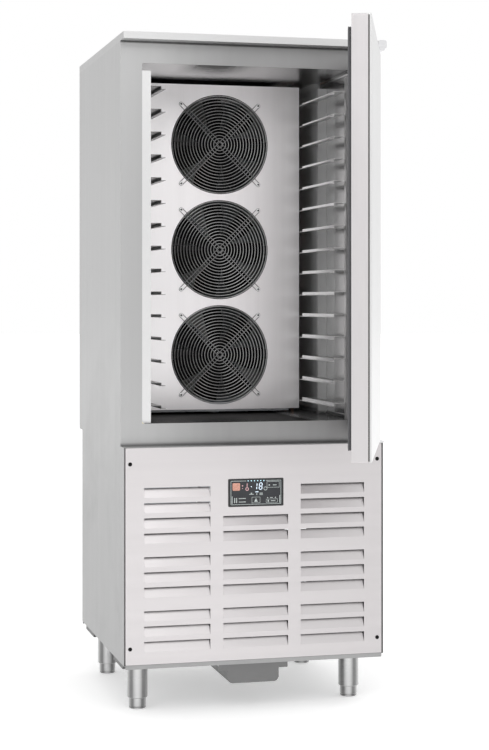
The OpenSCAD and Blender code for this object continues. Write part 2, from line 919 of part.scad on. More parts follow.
// Key cap with the rim that keeps it behind the glass
module key(i) {
    front = -bezel_out + 0.8;
    back = front + 2 + key_gap;
    color("dimgray") at_front() key_place(i) {
        along_y(front, back) round_rect(key_w, key_h, 1.6);
        along_y(back, back + 1.2) round_rect(key_w + 3, key_h + 3, 1.6);
    }
}

module key_left() {
    key(-1);
}

module key_centre() {
    key(0);
}

module key_right() {
    key(1);
}

// Housing of the electronics behind the glass, with a well for each key
module controller_box() {
    front = -bezel_out + 2.8;
    well = key_gap + 1.2 + key_travel + 0.3;
    color("darkslategray") at_front() difference() {
        along_y(front, 46) translate([0, control_z]) round_rect(glass_w - 1, glass_h - 1, 2);
        for (i = [-1 : 1]) key_place(i)
            along_y(front - 1, front + well) round_rect(key_w + 5, key_h + 5, 2);
    }
}

// Rear panel of the compartment, with louvers pressed outwards
module rear_vent_panel() {
    h = lower_top - side_z;
    top_margin = 30;
    n = floor((h - top_margin - 30) / rear_louver_pitch);
    w = hw - 24;
    slot = rear_louver_pitch * 0.7;
    color("gainsboro") at_front() {
        difference() {
            block(-hw, hw, rear_y, rear_y + sheet, side_z, lower_top);
            for (i = [0 : n - 1], c = [-1, 1])
                translate([c * (w / 2 + 6), 0, lower_top - top_margin - i * rear_louver_pitch])
                    block(-w / 2, w / 2, rear_y - 1, rear_y + sheet + 1, -slot, 0);
            translate([gland_x, rear_y - 1, gland_z]) rotate([-90, 0, 0])
                cylinder(r = gland_hole_r, h = sheet + 2);
        }
        for (i = [0 : n - 1], c = [-1, 1])
            translate([c * (w / 2 + 6), rear_y, lower_top - top_margin - i * rear_louver_pitch])
                along_x(-w / 2, w / 2) polygon([
                    [0, 0.8], [sheet, 0.8], [rear_louver_out, 0.8 - slot],
                    [rear_louver_out - sheet, 0.4 - slot], [0, -sheet]
                ]);
    }
}
gland_x = -hw + 55;
gland_z = 182;
gland_hole_r = 10;

// Gland for the mains lead, in the foot of the rear panel
module cable_gland() {
    color("dimgray") at_front() translate([gland_x, rear_y, gland_z]) rotate([-90, 0, 0])
        difference() {
            union() {
                translate([0, 0, -8]) cylinder(r = gland_hole_r - 0.1, h = 20);
                translate([0, 0, sheet]) cylinder(r = 14, h = 5, $fn = 6);
                translate([0, 0, sheet + 5]) cylinder(r = 11, h = 12);
                translate([0, 0, -6]) cylinder(r = 14, h = 5.9, $fn = 6);
            }
            translate([0, 0, -9]) cylinder(r = 5.5, h = 40);
        }
}

// Base plate with the lip under the front panel
module base_plate() {
    color("gray") at_front() difference() {
        union() {
            block(-hw + sheet, hw - sheet, 0.3, rear_y, side_z, base_top);
            block(-panel_hw, panel_hw, 0.3, 0.3 + sheet, base_top - lip_h, base_top);
            block(-hw + sheet, hw - sheet, rear_y - sheet, rear_y, side_z - 8, side_z);
        }
        translate([0, drain_out_y, side_z - 1]) cylinder(r = drain_r + 1, h = 4);
        for (x = [-220 : 40 : 220], y = [330, 470])
            if (abs(x) > 30) block(x - 7, x + 7, y, y + 90, side_z - 1, base_top + 1);
    }
}

// Legs ----------------------------------------------------------------------

// Calls children at each leg, on the floor
module leg_place(x, y) {
    translate([x * leg_x, y, 0]) children();
}

// Box-shaped plate, open at the top, under each corner of the base
module leg_plate(y) {
    x0 = leg_x - 33;
    x1 = hw - 5;
    difference() {
        block(x0, x1, y, y + 150, plate_z, side_z);
        block(x0 + 3, x1 - 3, y + 3, y + 147, plate_z + 3, side_z + 1);
    }
}

module leg_plates() {
    color("dimgray") at_front() both_sides() {
        leg_plate(leg_front - 92);
        leg_plate(leg_rear - 100);
    }
}

// Tube that hangs from the leg plate and guides the foot
module leg_sleeve() {
    rotate_extrude() difference() {
        union() {
            translate([0, sleeve_low]) square([sleeve_d / 2, plate_z - sleeve_low]);
            translate([0, plate_z - 4]) square([sleeve_d / 2 + 4, 4]);
        }
        translate([0, sleeve_low - 1]) square([foot_r + run_gap, foot_top + seat - sleeve_low + 1]);
        polygon([
            [sleeve_d / 2 - 1.5, sleeve_low - 0.1], [sleeve_d / 2 + 1, sleeve_low - 0.1],
            [sleeve_d / 2 + 1, sleeve_low + 2.4]
        ]);
    }
}

module leg_sleeves() {
    color("silver") at_front() for (x = [-1, 1], y = [leg_front, leg_rear])
        leg_place(x, y) leg_sleeve();
}

// Levelling foot: a tube that slides in the sleeve, on a flared pad
module foot(x, y) {
    color("silver") at_front() leg_place(x, y) rotate_extrude() difference() {
        polygon([
            [0, 0], [foot_r - 3, 0], [foot_r, 2], [foot_r, pad_h], [foot_r - 1.5, pad_h + 1],
            [foot_r - 1.5, pad_h + 3], [foot_r, pad_h + 4], [foot_r, foot_top], [0, foot_top]
        ]);
        translate([0, foot_top - 60]) square([foot_r - 4, 61]);
    }
}

module foot_front_left() {
    foot(-1, leg_front);
}

module foot_front_right() {
    foot(1, leg_front);
}

module foot_rear_left() {
    foot(-1, leg_rear);
}

module foot_rear_right() {
    foot(1, leg_rear);
}

// Drip tray -------------------------------------------------------------

tray_flange = 22;

// Section of the tray, grown outwards
module tray_section(grow) {
    h = tray_top - tray_low;
    intersection() {
        translate([0, tray_low + h]) round_rect(tray_w + 2 * grow, 2 * h + 2 * grow, 16 + grow);
        translate([-tray_w, tray_low - 2]) square([2 * tray_w, h + 2]);
    }
}

module drip_tray() {
    y1 = tray_front + tray_l;
    color("gray") at_front() difference() {
        union() {
            along_y(tray_front, y1) tray_section(0);
            block(-tray_w / 2 - tray_flange, tray_w / 2 + tray_flange,
                tray_front, y1, tray_top - sheet, tray_top);
            block(-tray_plate_w / 2, tray_plate_w / 2, tray_front, tray_front + sheet,
                base_top - lip_h - 1 - tray_plate_h, base_top - lip_h - 1);
        }
        along_y(tray_front + sheet, y1 - sheet) tray_section(-sheet);
        block(-tray_w / 2 + sheet, tray_w / 2 - sheet, tray_front + sheet, y1 - sheet,
            tray_top - 3, tray_top + 1);
    }
}

// Channel that hangs from the base plate and carries the tray's flange
module tray_runner() {
    x1 = tray_w / 2 + tray_flange + 1;
    y0 = tray_front + sheet + 2;
    z0 = tray_top - sheet - seat - sheet;
    block(x1, x1 + sheet, y0, y0 + tray_l, z0, side_z);
    block(x1 - 14, x1 + sheet, y0, y0 + tray_l, z0, z0 + sheet);
    block(x1 - 14, x1 + sheet, y0, y0 + tray_l, side_z - sheet, side_z);
}

module tray_runners() {
    color("gray") at_front() both_sides() tray_runner();
}

// Compressor compartment --------------------------------------------------

// Welded shell with domed ends, about Z
module domed_can(r, h) {
    rotate_extrude() intersection() {
        square([r, h]);
        translate([0, h / 2]) circle(h / 2, $fn = 96);
    }
}

module compressor() {
    foot_z = 22;
    color("black") at_front() translate(compressor_at) {
        translate([0, 0, foot_z + 8]) domed_can(compressor_r, compressor_h);
        difference() {
            translate([0, 0, foot_z + 2]) linear_extrude(4) round_rect(210, 170, 12);
            compressor_feet() cylinder(r = 8, h = 60, center = true);
        }
        translate([0, 0, foot_z + 5]) cylinder(r = compressor_r - 25, h = 30);
        translate([compressor_r - 12, -30, foot_z + 90]) cube([34, 60, 70]);
        for (y = [-1, 1])
            translate([0, y * (compressor_r + 15), compressor_port]) rotate([y * 90, 0, 0])
                cylinder(r = pipe_r, h = 30);
    }
}

// Calls children at the four feet of the compressor
module compressor_feet() {
    for (x = [-88, 88], y = [-68, 68]) translate([x, y, 0]) children();
}

module compressor_mounts() {
    color("dimgray") at_front() translate(compressor_at) compressor_feet()
        rotate_extrude() polygon([
            [0, 0], [15, 0], [15, 4], [11, 8], [11, 19], [15, 23.7], [7.9, 23.7],
            [7.9, 28.5], [12, 28.5], [12, 33], [0, 33]
        ]);
}

module condenser_coil() {
    color("darkgray") at_front() translate([condenser_x - condenser_w / 2, condenser_y, 0]) {
        translate([0, 0, condenser_z])
            finned_coil(condenser_w, condenser_h, condenser_d, 14, condenser_cols);
        for (x = [0, condenser_w - 2])
            translate([x, 0, base_top]) cube([2, condenser_d, condenser_z - base_top + 1]);
    }
}

// Plate behind the condenser with a collar round the fan
module condenser_shroud() {
    x0 = condenser_x - condenser_w / 2;
    x1 = condenser_x + condenser_w / 2;
    hole = condenser_blade_d + 16;
    color("gray") at_front() difference() {
        union() {
            block(x0, x1, shroud_y, shroud_y + sheet, base_top, condenser_z + condenser_h);
            block(x0, x0 + sheet, condenser_y + condenser_d, shroud_y + sheet,
                condenser_z, condenser_z + condenser_h);
            block(x1 - sheet, x1, condenser_y + condenser_d, shroud_y + sheet,
                condenser_z, condenser_z + condenser_h);
            block(x0, x1, condenser_y + condenser_d, shroud_y + sheet,
                condenser_z + condenser_h - sheet, condenser_z + condenser_h);
            translate([condenser_x, shroud_y, condenser_mid]) rotate([-90, 0, 0])
                cylinder(d = hole + 2 * sheet, h = 26, $fn = 96);
        }
        translate([condenser_x, shroud_y - 1, condenser_mid]) rotate([-90, 0, 0])
            cylinder(d = hole, h = 40, $fn = 96);
    }
}

module condenser_impeller() {
    color("black") at_front() translate([condenser_x, condenser_fan_y, condenser_mid])
        rotate([-90, 0, 0]) impeller(condenser_blade_d, 80, condenser_blade_depth, 5);
}

module condenser_motor() {
    y = condenser_fan_y + condenser_blade_depth + motor_off;
    l = 50;
    x = condenser_blade_d / 2 + 14;
    color("dimgray") at_front() translate([condenser_x, 0, condenser_mid]) {
        translate([0, y, 0]) rotate([-90, 0, 0]) motor_can(76, l);
        block(-x, x, y + l, y + l + 3, -12, 12);
        both_sides() {
            block(-x, -x + 3, shroud_y + sheet, y + l + 3, -12, 12);
            block(-x - 12, -x + 3, shroud_y + sheet, shroud_y + sheet + 3, -12, 12);
        }
    }
}

module receiver() {
    color("black") at_front() translate(receiver_at) {
        translate([0, 0, 6]) difference() {
            domed_can(receiver_r, receiver_h);
            translate([0, 0, 4]) domed_can(receiver_r - 4, receiver_h - 8);
            translate([0, 0, receiver_h - 10]) cylinder(r = pipe_r - 1.5, h = 12);
        }
        translate([0, -receiver_r - 15, condenser_z + stub_edge - base_top]) rotate([-90, 0, 0])
            cylinder(r = pipe_r, h = 30);
        difference() {
            cylinder(r = receiver_r - 8, h = 30);
            translate([0, 0, -1]) cylinder(r = receiver_r - 11, h = 28);
        }
        linear_extrude(3) difference() {
            round_rect(130, 130, 10);
            for (x = [-52, 52], y = [-52, 52]) translate([x, y]) circle(4.5);
        }
    }
}

module electrical_box() {
    x0 = riser_x + 13;
    x1 = hw - sheet;
    y0 = 70;
    z1 = lower_top;
    color("lightgray") at_front() {
        difference() {
            block(x0, x1, y0, y0 + 150, z1 - 260, z1);
            block(x0 + 2, x1 - 2, y0 - 1, y0 + 148, z1 - 258, z1 - 2);
        }
        block(x0 - 2, x1 - 25, y0 - 2, y0, z1 - 256, z1 - 4);
    }
}

// Copper lines between the coils, the compressor and the receiver
module refrigerant_pipes() {
    r = pipe_r - 0.1;
    port_y = compressor_r + 15;
    discharge_y = compressor_at[1] - port_y - 35;
    port_z = base_top + compressor_port;
    liquid_y = receiver_at[1] - receiver_r - 45;
    liquid_z = base_top + receiver_h + liquid_rise;
    low_z = condenser_z + stub_edge;
    high_z = condenser_z + condenser_h - stub_edge;
    stub_x = condenser_x1 + weld_gap + stub_l;
    stub_y = condenser_y + condenser_d / condenser_cols;
    coil_stub_x = coil_w / 2 + weld_gap + stub_l;
    coil_stub_y = coil_y + coil_d / coil_cols;
    coil_low = coil_z + stub_edge;
    coil_high = coil_z + coil_h - stub_edge;
    color("peru") at_front() {
        bent_bar([[compressor_at[0], compressor_at[1] + port_y, port_z],
            [compressor_at[0], pipe_y, port_z], [pipe_x[1], pipe_y, port_z],
            [pipe_x[1], pipe_y, coil_high], [pipe_x[1], coil_stub_y, coil_high],
            [coil_stub_x, coil_stub_y, coil_high]], r, 20);
        bent_bar([[compressor_at[0], compressor_at[1] - port_y, port_z],
            [compressor_at[0], discharge_y, port_z], [riser_x, discharge_y, port_z],
            [riser_x, discharge_y, high_z], [riser_x, stub_y, high_z],
            [stub_x, stub_y, high_z]], r, 14);
        bent_bar([[stub_x, stub_y, low_z], [riser_x, stub_y, low_z],
            [riser_x, liquid_y, low_z], [receiver_at[0], liquid_y, low_z],
            [receiver_at[0], liquid_y + 30, low_z]], r, 14);
        bent_bar([[receiver_at[0], receiver_at[1], base_top + 6 + receiver_h],
            [receiver_at[0], receiver_at[1], liquid_z], [pipe_x[0], receiver_at[1], liquid_z],
            [pipe_x[0], pipe_y, liquid_z], [pipe_x[0], pipe_y, coil_low],
            [pipe_x[0], coil_stub_y, coil_low], [coil_stub_x, coil_stub_y, coil_low]], r, 15);
    }
}

// Hinges --------------------------------------------------------------------

// Plate that carries a hinge pin, from its free end to where it is fixed
module hinge_plate(x0, x1, z0, z1) {
    block(x0, x1, hinge_back - pin_r - 2, 40, z0, z1);
}

module upper_hinge() {
    low = cap_z - 9;
    color("gray") at_front() {
        hinge_block();
        hinge_plate(hinge_x - pin_r - 6, hw + 2, low, cap_z - 2.9);
        translate([hinge_x, hinge_back, door_z1 - pin_l + 1])
            cylinder(r = pin_r, h = low - door_z1 + pin_l);
    }
}

module lower_hinge() {
    top = lower_top + 5;
    color("gray") at_front() {
        hinge_plate(hinge_x - pin_r - 8, hw, lower_top, top);
        translate([hinge_x, hinge_back, top - 0.5])
            cylinder(r = pin_r, h = door_z0 - top + pin_l - 0.5);
        translate([hinge_x, hinge_back, top - 0.1])
            cylinder(r = pin_r + 3, h = door_z0 - seat - top + 0.1);
    }
}

// Door, drawn shut and then swung open --------------------------------------

module door_swing() {
    translate([hinge_x, hinge_back, 0]) rotate([0, 0, door_angle])
        translate([-hinge_x, -hinge_back, 0]) children();
}

// Door outline in X and Z, taken in by an edge distance
module door_outline(inset, r) {
    translate([0, door_mid]) round_rect(door_w - 2 * inset, door_h - 2 * inset, r);
}

// Bores for the hinge bushes at the top and bottom of the door
module bush_bores() {
    for (z = [door_z0 - 1, door_z1 - bush_l - bore_gap])
        translate([hinge_x, hinge_back, z]) cylinder(r = bush_r + bore_gap, h = bush_l + 1 + bore_gap);
}

module door_outer_pan() {
    color("gainsboro") at_front() door_swing() difference() {
        along_y(door_y0, door_skin_y) door_outline(0, door_r);
        along_y(door_y0 + sheet, door_skin_y + 1) door_outline(sheet, door_r);
        bush_bores();
    }
}

// Plastic frame that parts the two pans and leaves a groove round the edge
module door_thermal_break() {
    color("black") at_front() door_swing() difference() {
        along_y(door_skin_y, door_break_y) difference() {
            door_outline(door_groove, door_r);
            door_outline(door_groove + break_w, door_r);
        }
        bush_bores();
    }
}

module door_inner_pan() {
    color("whitesmoke") at_front() door_swing() difference() {
        along_y(door_break_y, door_y1) door_outline(0, door_r);
        along_y(door_break_y - 1, door_y1 - sheet) door_outline(sheet, door_r);
        bush_bores();
    }
}

module door_foam() {
    color("khaki") at_front() door_swing() difference() {
        union() {
            along_y(door_y0 + sheet, door_skin_y) door_outline(sheet, door_r);
            along_y(door_skin_y, door_break_y) door_outline(door_groove + break_w, door_r);
            along_y(door_break_y, door_y1 - sheet) door_outline(sheet, door_r);
        }
        bush_bores();
    }
}

// Magnetic gasket: a flat foot and a narrower bulb that meets the frame
module door_gasket() {
    w = door_w - 2 * gasket_inset;
    h = door_h - 2 * gasket_inset;
    color("dimgray") at_front() door_swing() translate([0, 0, door_mid]) {
        along_y(door_y1, door_y1 + 4) rect_ring(w, h, 6, gasket_w);
        along_y(door_y1, door_y1 + gasket_t) rect_ring(w - 6, h - 6, 4, gasket_w - 6);
    }
}

// Flanged bush with a blind bore round each hinge pin
module door_hinge_bushes() {
    module bush() difference() {
        cylinder(r = bush_r, h = bush_l);
        translate([0, 0, -1]) cylinder(r = pin_r + run_gap, h = pin_l + 1);
    }
    color("dimgray") at_front() door_swing() {
        translate([hinge_x, hinge_back, door_z0]) bush();
        translate([hinge_x, hinge_back, door_z1]) mirror([0, 0, 1]) bush();
    }
}

left_side_panel();
right_side_panel();
top_cap();
back_panel();
front_frame();
chamber_liner();
insulation_foam();
compartment_ceiling();
lower_casing();
louvred_front_panel();
front_panel_screws();
control_bezel();
control_glass();
controller_box();
rear_vent_panel();
base_plate();
leg_plates();
leg_sleeves();
tray_runners();
rack_uprights();
left_rails();
right_rails();
fan_panel();
fan_guards();
guard_screws();
fan_motors();
evaporator_coil();
evaporator_drain_pan();
drain_pipe();
compressor();
compressor_mounts();
condenser_coil();
condenser_shroud();
condenser_motor();
receiver();
electrical_box();
refrigerant_pipes();
cable_gland();
upper_hinge();
lower_hinge();
door_outer_pan();
door_thermal_break();
door_inner_pan();
door_foam();
door_gasket();
door_hinge_bushes();
impeller_upper();
impeller_middle();
impeller_lower();
condenser_impeller();
drip_tray();
foot_front_left();
foot_front_right();
foot_rear_left();
foot_rear_right();
key_left();
key_centre();
key_right();
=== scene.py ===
"""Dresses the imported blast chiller: brushed steel, plastics and rubber on its solids, and modelled small pieces.

It is laid out as an add-on and run as a script. All lengths are in metres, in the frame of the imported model.
"""

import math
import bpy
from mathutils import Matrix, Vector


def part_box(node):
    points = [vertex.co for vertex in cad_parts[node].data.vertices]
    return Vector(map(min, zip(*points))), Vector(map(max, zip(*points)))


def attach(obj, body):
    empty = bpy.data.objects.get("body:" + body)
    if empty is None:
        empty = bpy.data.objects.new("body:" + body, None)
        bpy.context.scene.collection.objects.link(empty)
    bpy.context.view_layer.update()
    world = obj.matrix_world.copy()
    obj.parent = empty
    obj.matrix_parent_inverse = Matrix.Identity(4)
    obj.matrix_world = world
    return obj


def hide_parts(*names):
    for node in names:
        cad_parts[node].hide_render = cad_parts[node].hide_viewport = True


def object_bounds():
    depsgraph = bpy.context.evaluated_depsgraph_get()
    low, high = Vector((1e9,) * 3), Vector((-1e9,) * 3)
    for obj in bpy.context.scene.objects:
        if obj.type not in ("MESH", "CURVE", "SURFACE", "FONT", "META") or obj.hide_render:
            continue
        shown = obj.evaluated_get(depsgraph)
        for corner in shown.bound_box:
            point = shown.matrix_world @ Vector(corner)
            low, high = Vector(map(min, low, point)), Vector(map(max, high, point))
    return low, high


bl_info = {
    "name": "Blast chiller finish",
    "version": (1, 0, 0),
    "blender": (4, 5, 0),
    "location": "3D View > Sidebar > Chiller",
    "description": "Dresses a blast chiller's solids with finishes and small pieces",
    "category": "Object",
}

import bpy
import numpy as np
from bpy.props import FloatProperty, FloatVectorProperty, IntProperty, PointerProperty
from bpy.types import Operator, Panel, PropertyGroup
from mathutils import Vector

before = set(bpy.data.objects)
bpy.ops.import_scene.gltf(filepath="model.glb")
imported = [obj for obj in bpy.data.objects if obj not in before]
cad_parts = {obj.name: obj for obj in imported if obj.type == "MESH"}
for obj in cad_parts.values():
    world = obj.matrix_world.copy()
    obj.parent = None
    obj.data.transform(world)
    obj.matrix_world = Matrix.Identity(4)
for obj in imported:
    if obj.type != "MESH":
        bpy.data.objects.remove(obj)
cad_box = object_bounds()

MM = 0.001

# Planes and lines of the solids that the new pieces sit on. DOOR_Z and DOOR_Y are those of the shut door
FRONT_Y = -0.045
GLASS_Y = -0.0462
DISPLAY_Z = 0.653
HINGE = np.array([0.383, -0.048, 0.0])
DOOR_OPEN = math.radians(69.4)
DOOR_HALF = 0.395
DOOR_Z = (0.803, 1.972)
DOOR_Y = (-0.0555, -0.003)
GUARD_FACE_Y = 0.4084
FAN_Z = (1.050, 1.390, 1.730)
ARM_REACH = 0.181
PANEL_SCREWS = [(x, z) for x in (-0.381, 0.381) for z in (0.2028, 0.745)]

# How brushed grain is drawn out: upwards, sideways, from front to back, round a post, along fins or not at all
UPRIGHT, LEVEL, DEEP = (1.0, 1.0, 0.012), (0.012, 1.0, 1.0), (1.0, 0.012, 1.0)
ROUND, FINS, EVEN = (0.02, 0.02, 1.0), (1.0, 1.0, 0.05), (1.0, 1.0, 1.0)


def ramp(axis, start, end):
    """Ends of a soft ramp along an axis, in metres: its mask is 0 at the start and 1 at the end."""
    way = Vector([float(axis == letter) for letter in "XYZ"])
    return way * start, way * end


# Painted shade in the steel, as soft dark places and as dulling shades that also take metal away: each is its share
# and the ramps that bound it. Those of the liner are painted reflections of the dark surroundings that it mirrors at
# low angles
FLOOR, CEILING, BEHIND_FANS = ramp("Z", 0.876, 0.866), ramp("Z", 1.920, 1.932), ramp("Y", 0.37, 0.42)
CLEAR_OF_RACK = ramp("X", 0.24, 0.18)
# The ceiling patch bounds a dark painted reflection near the front of the ceiling
CEILING_PATCH = (CEILING, ramp("Y", 0.32, 0.06), ramp("X", -0.21, -0.13), ramp("X", 0.03, -0.07))
# Painted shade: the side panels and casing darker towards the bottom
BODY_SHADES = [(0.43, ramp("Z", 1.6, 0.3))]
# Painted shade: the front panel darker towards the right
PANEL_SHADES = [(0.10, ramp("X", -0.2, 0.35))]
# Painted shade: the frame darker towards the right, with painted shadow lines under the cap and at its foot
FRAME_SHADES = [
    (0.28, ramp("X", -0.37, -0.05)), (0.10, ramp("X", 0, 0.35)),
    (0.80, ramp("Z", 1.986, 1.992)), (0.60, ramp("Z", 0.806, 0.795)),
]
# Painted shade: a dark floor, the ceiling and floor darkest behind the fans, the right wall darker at the front; the
# ceiling patch is a dark painted reflection
LINER_SHADES = [
    (0.97, CEILING, BEHIND_FANS, CLEAR_OF_RACK), (0.97, FLOOR, BEHIND_FANS, CLEAR_OF_RACK),
    (0.93, FLOOR, CLEAR_OF_RACK), (0.74, FLOOR, ramp("X", 0.18, 0.24)),
    (0.15, ramp("X", 0.30, 0.33), ramp("Y", 0.40, 0.30)), (0.75, *CEILING_PATCH),
]
# Dulling shades, painted shade that also takes metal away: the right wall's strip behind the fans, the ceiling patch
LINER_DULLING_SHADES = [(0.85, ramp("X", 0.30, 0.32), ramp("Y", 0.37, 0.43)), (0.45, *CEILING_PATCH)]
# Painted shade: the fan panel darker towards the right
FAN_PANEL_SHADES = [(0.15, ramp("X", -0.05, 0.20))]
# Painted shade: the rack darker towards the right
RACK_SHADES = [(0.32, ramp("X", 0.1, 0.2))]
# Painted shade: the fan guards' arms, which lie in front of the rings, darker
GUARD_ARM_SHADES = [(0.50, ramp("Y", 0.4124, 0.4112))]

# Share of the rack's colour on the left rails, which face away from the light
LEFT_RAILS_LIGHT = 0.28

# Gasket in mm: its section, as across and height from the door's inner face, its inset and its corners' radius
GASKET_SECTION = [
    (-9, 0.0), (-9, 1.6), (-6.5, 2.4), (-6.6, 3.6), (-8.0, 4.6), (-6.4, 5.6), (-6.4, 6.4), (-7.4, 7.2),
    (-7.6, 10.0), (-6.9, 10.7), (6.9, 10.7), (7.6, 10.0), (7.4, 7.2), (6.4, 6.4), (6.4, 5.6), (8.0, 4.6),
    (6.6, 3.6), (6.5, 2.4), (9, 1.6), (9, 0.0),
]
GASKET_INSET, GASKET_CORNER = 35, 12

# Screw heads in mm: radius, height and the share of the recess outline in each row, from the rim to the middle
SOCKET_HEAD = [
    (6.0, 0.0, 0), (6.0, 0.5, 0), (5.6, 1.4, 0), (4.8, 2.3, 0), (3.9, 2.9, 0), (3.5, 3.05, 0.2),
    (3.2, 3.05, 1), (3.1, 2.9, 1), (3.0, 0.9, 1), (2.2, 0.6, 1), (0.6, 0.5, 1),
]
WASHER = [(6.2, -1.0, 0), (6.2, -0.2, 0), (6.0, 0.0, 0), (3.0, 0.0, 0), (2.8, -0.1, 0)]
PAN_HEAD = [
    (3.2, 0.0, 0), (3.2, 0.6, 0), (3.0, 1.4, 0), (2.6, 2.0, 0), (2.1, 2.2, 0.2), (2.0, 2.2, 1),
    (1.8, 2.0, 1), (1.1, 1.0, 1), (0.4, 0.8, 1),
]

# How far the socket screws stand off the panel and the pan heads lie in their washers, in mm
SOCKET_GAP, PAN_SINK = 0.1, 0.02

# Control face in mm from the middle of the display: the marks' distance from the glass and their depth, and the
# digits' feet, their width, height and line, and their lean as a share of the height
MARK_GAP, MARK_DEPTH = 0.01, 0.12
DIGIT_FEET, DIGIT_SIZE, DIGIT_LEAN = ((-6.5, 9.0), (9.5, 9.0)), (8.5, 18.8, 2.0), 0.08
SEGMENTS = {
    0: "abcdef", 1: "bc", 2: "abged", 3: "abgcd", 4: "fgbc", 5: "afgcd", 6: "afgedc", 7: "abc", 8: "abcdefg",
    9: "abfgcd",
}

# Marks of the control face: bars are x0, x1, z0, z1 and their rounding if it isn't the usual one, dots are x, z and
# radius, frames are x0, x1, z0, z1 and line, rings are x, z, radius and line, and plates are outlines
MARKS = {
    "lit_digits": {"bars": [(-2, 8, 0.8, 2.6)], "dots": [(-14.3, 17.5, 1.5)]},
    "lit_indicator": {"bars": [(-72, -49, 6.5, 29, 0.25)]},
    "lit_thermometer": {
        "bars": [(-28.4, -26.2, 15.5, 27.5)], "dots": [(-41.5, 20.5, 2.0), (-41.5, 12.5, 1.3)],
        "rings": [(-27.3, 10.7, 5.2, 2.0)],
    },
    "lit_dots": {"dots": [(-24 + 9.7 * i, 35.0, 1.8) for i in range(6)]},
    "printed_marks": {
        "frames": [(33.4, 72.5, 13.5, 32.0, 1.1)], "rings": [(29.3, 11.0, 5.6, 1.6)],
        "bars": [
            (-77.6, -30, 34.2, 35.7), (30, 77.6, 34.2, 35.7), (-77.6, 77.6, -35.7, -34.3),
            (-77.7, -76.3, -35.7, 35.7), (76.3, 77.7, -35.7, 35.7), (52, 64, 19.8, 22.2), (-21, -7, -6.2, -4.6),
            (1.4, 3.6, -8, -1.5), (11, 21, -2.6, -1.2), (11, 21, -5.2, -3.8), (11, 21, -7.8, -6.4),
            (-74.5, -72.3, -33, -10), (72.5, 74.7, -33, -10),
        ],
        "dots": [(41, 21, 2.4), (-14, -2.6, 2.2)],
    },
    "key_marks_left": {
        "bars": [(-67, -64.4, -30, -15), (-61, -58.4, -30, -15), (-53, -31, -18.2, -16.2), (-53, -31, -28.4, -26.4)],
    },
    "key_marks_centre": {"frames": [(-13, 13, -31.5, -13.5, 0.9)], "plates": [[(-5.5, -28), (5.5, -28), (0, -17)]]},
    "key_marks_right": {
        "frames": [(31, 67, -31.5, -20.5, 0.9)], "dots": [(36, -16.6, 1.8), (60, -16.6, 1.8)],
        "bars": [(43, 52, -17.5, -15.7), (36, 40, -29, -23), (46, 60, -27, -25)],
    },
}

# Stage: place, aim and size of the soft boxes, radii of the floor's rings, points in each and its own glow, light
# from all round and its change across the sky, and the camera as fitted to the photograph
KEY_BOX = ((-0.6, -4.2, 4.6), (0, 0, 1.2), 3.0)
FILL_BOX = ((-3.2, -2.8, 2.2), (0, 0, 1.0), 2.6)
FLOOR_RINGS, FLOOR_STEPS, FLOOR_GLOW = (0.5, 1.5, 4.0, 12.0, 60.0), 96, 0.34
SKY, SKY_TILT = 0.88, 0.10
CAMERA_PLACE, CAMERA_TURN = (-1.3413, -5.1104, 1.2235), (math.radians(90), 0, math.radians(-14.46))
CAMERA_SHIFT, CAMERA_SENSOR = -0.0985, 36.0


# Sizes and colours ---------------------------------------------------------


def colour_prop(name, description, default):
    """A colour with its name, description and default."""
    return FloatVectorProperty(
        name=name, description=description, subtype="COLOR", size=3, min=0, max=1, default=default)


def power_prop(name, description, default):
    """The power of a light with its name, description and default."""
    return FloatProperty(name=name, description=description, unit="POWER", min=0, default=default)


class ChillerSteel(PropertyGroup):
    """Colours of the brushed sheets."""

    body: colour_prop("Body", "Side panels and lower casing", (0.60, 0.60, 0.60))
    cap: colour_prop("Cap", "Top cap", (0.63, 0.63, 0.63))
    panel: colour_prop("Front panel", "Louvred front panel", (0.645, 0.62, 0.625))
    jamb: colour_prop("Door frame", "Face frame round the chamber", (0.465, 0.465, 0.465))
    liner: colour_prop("Liner", "Inside of the chamber", (0.54, 0.54, 0.54))
    fans: colour_prop("Fan panel", "Panel round the fans", (0.97, 0.955, 0.96))
    rack: colour_prop("Rack", "Uprights and rails", (0.74, 0.74, 0.74))
    door: colour_prop("Door", "Outer pan of the door", (0.62, 0.62, 0.62))
    door_inner: colour_prop("Door's inside", "Inner pan of the door", (0.60, 0.58, 0.585))
    leg: colour_prop("Legs", "Leg sleeves and feet", (0.66, 0.66, 0.66))
    tray: colour_prop("Drip tray", "Drip tray under the casing", (0.195, 0.195, 0.195))
    hinge: colour_prop("Hinges", "Upper and lower hinge", (0.72, 0.72, 0.73))
    wire: colour_prop("Guard wire", "Wire of the fan guards", (0.56, 0.56, 0.56))
    roughness: FloatProperty(
        name="Roughness", description="Roughness of the brushed sheets", min=0, max=1, default=0.38)


class ChillerControl(PropertyGroup):
    """The lit face of the control panel."""

    number: IntProperty(name="Number", description="Two digits shown in the middle", min=0, max=99, default=18)
    digit: colour_prop("Digits", "Light of the digits", (0.75, 0.88, 1.0))
    lamp: colour_prop("Indicator", "Light of the square indicator", (0.50, 0.25, 0.19))
    mark: colour_prop("Marks", "Printed marks and frames", (0.42, 0.46, 0.45))


class ChillerStage(PropertyGroup):
    """Floor, lights and camera."""

    floor: colour_prop("Floor", "Floor and backdrop", (0.94, 0.94, 0.94))
    focal: FloatProperty(
        name="Focal length", description="Camera lens", subtype="DISTANCE_CAMERA", unit="CAMERA", min=1, default=84.3)
    key: power_prop("Key light", "Power of the soft box in front and above", 45.0)
    fill: power_prop("Fill light", "Power of the soft box on the left", 20.0)


# Surfaces ------------------------------------------------------------------


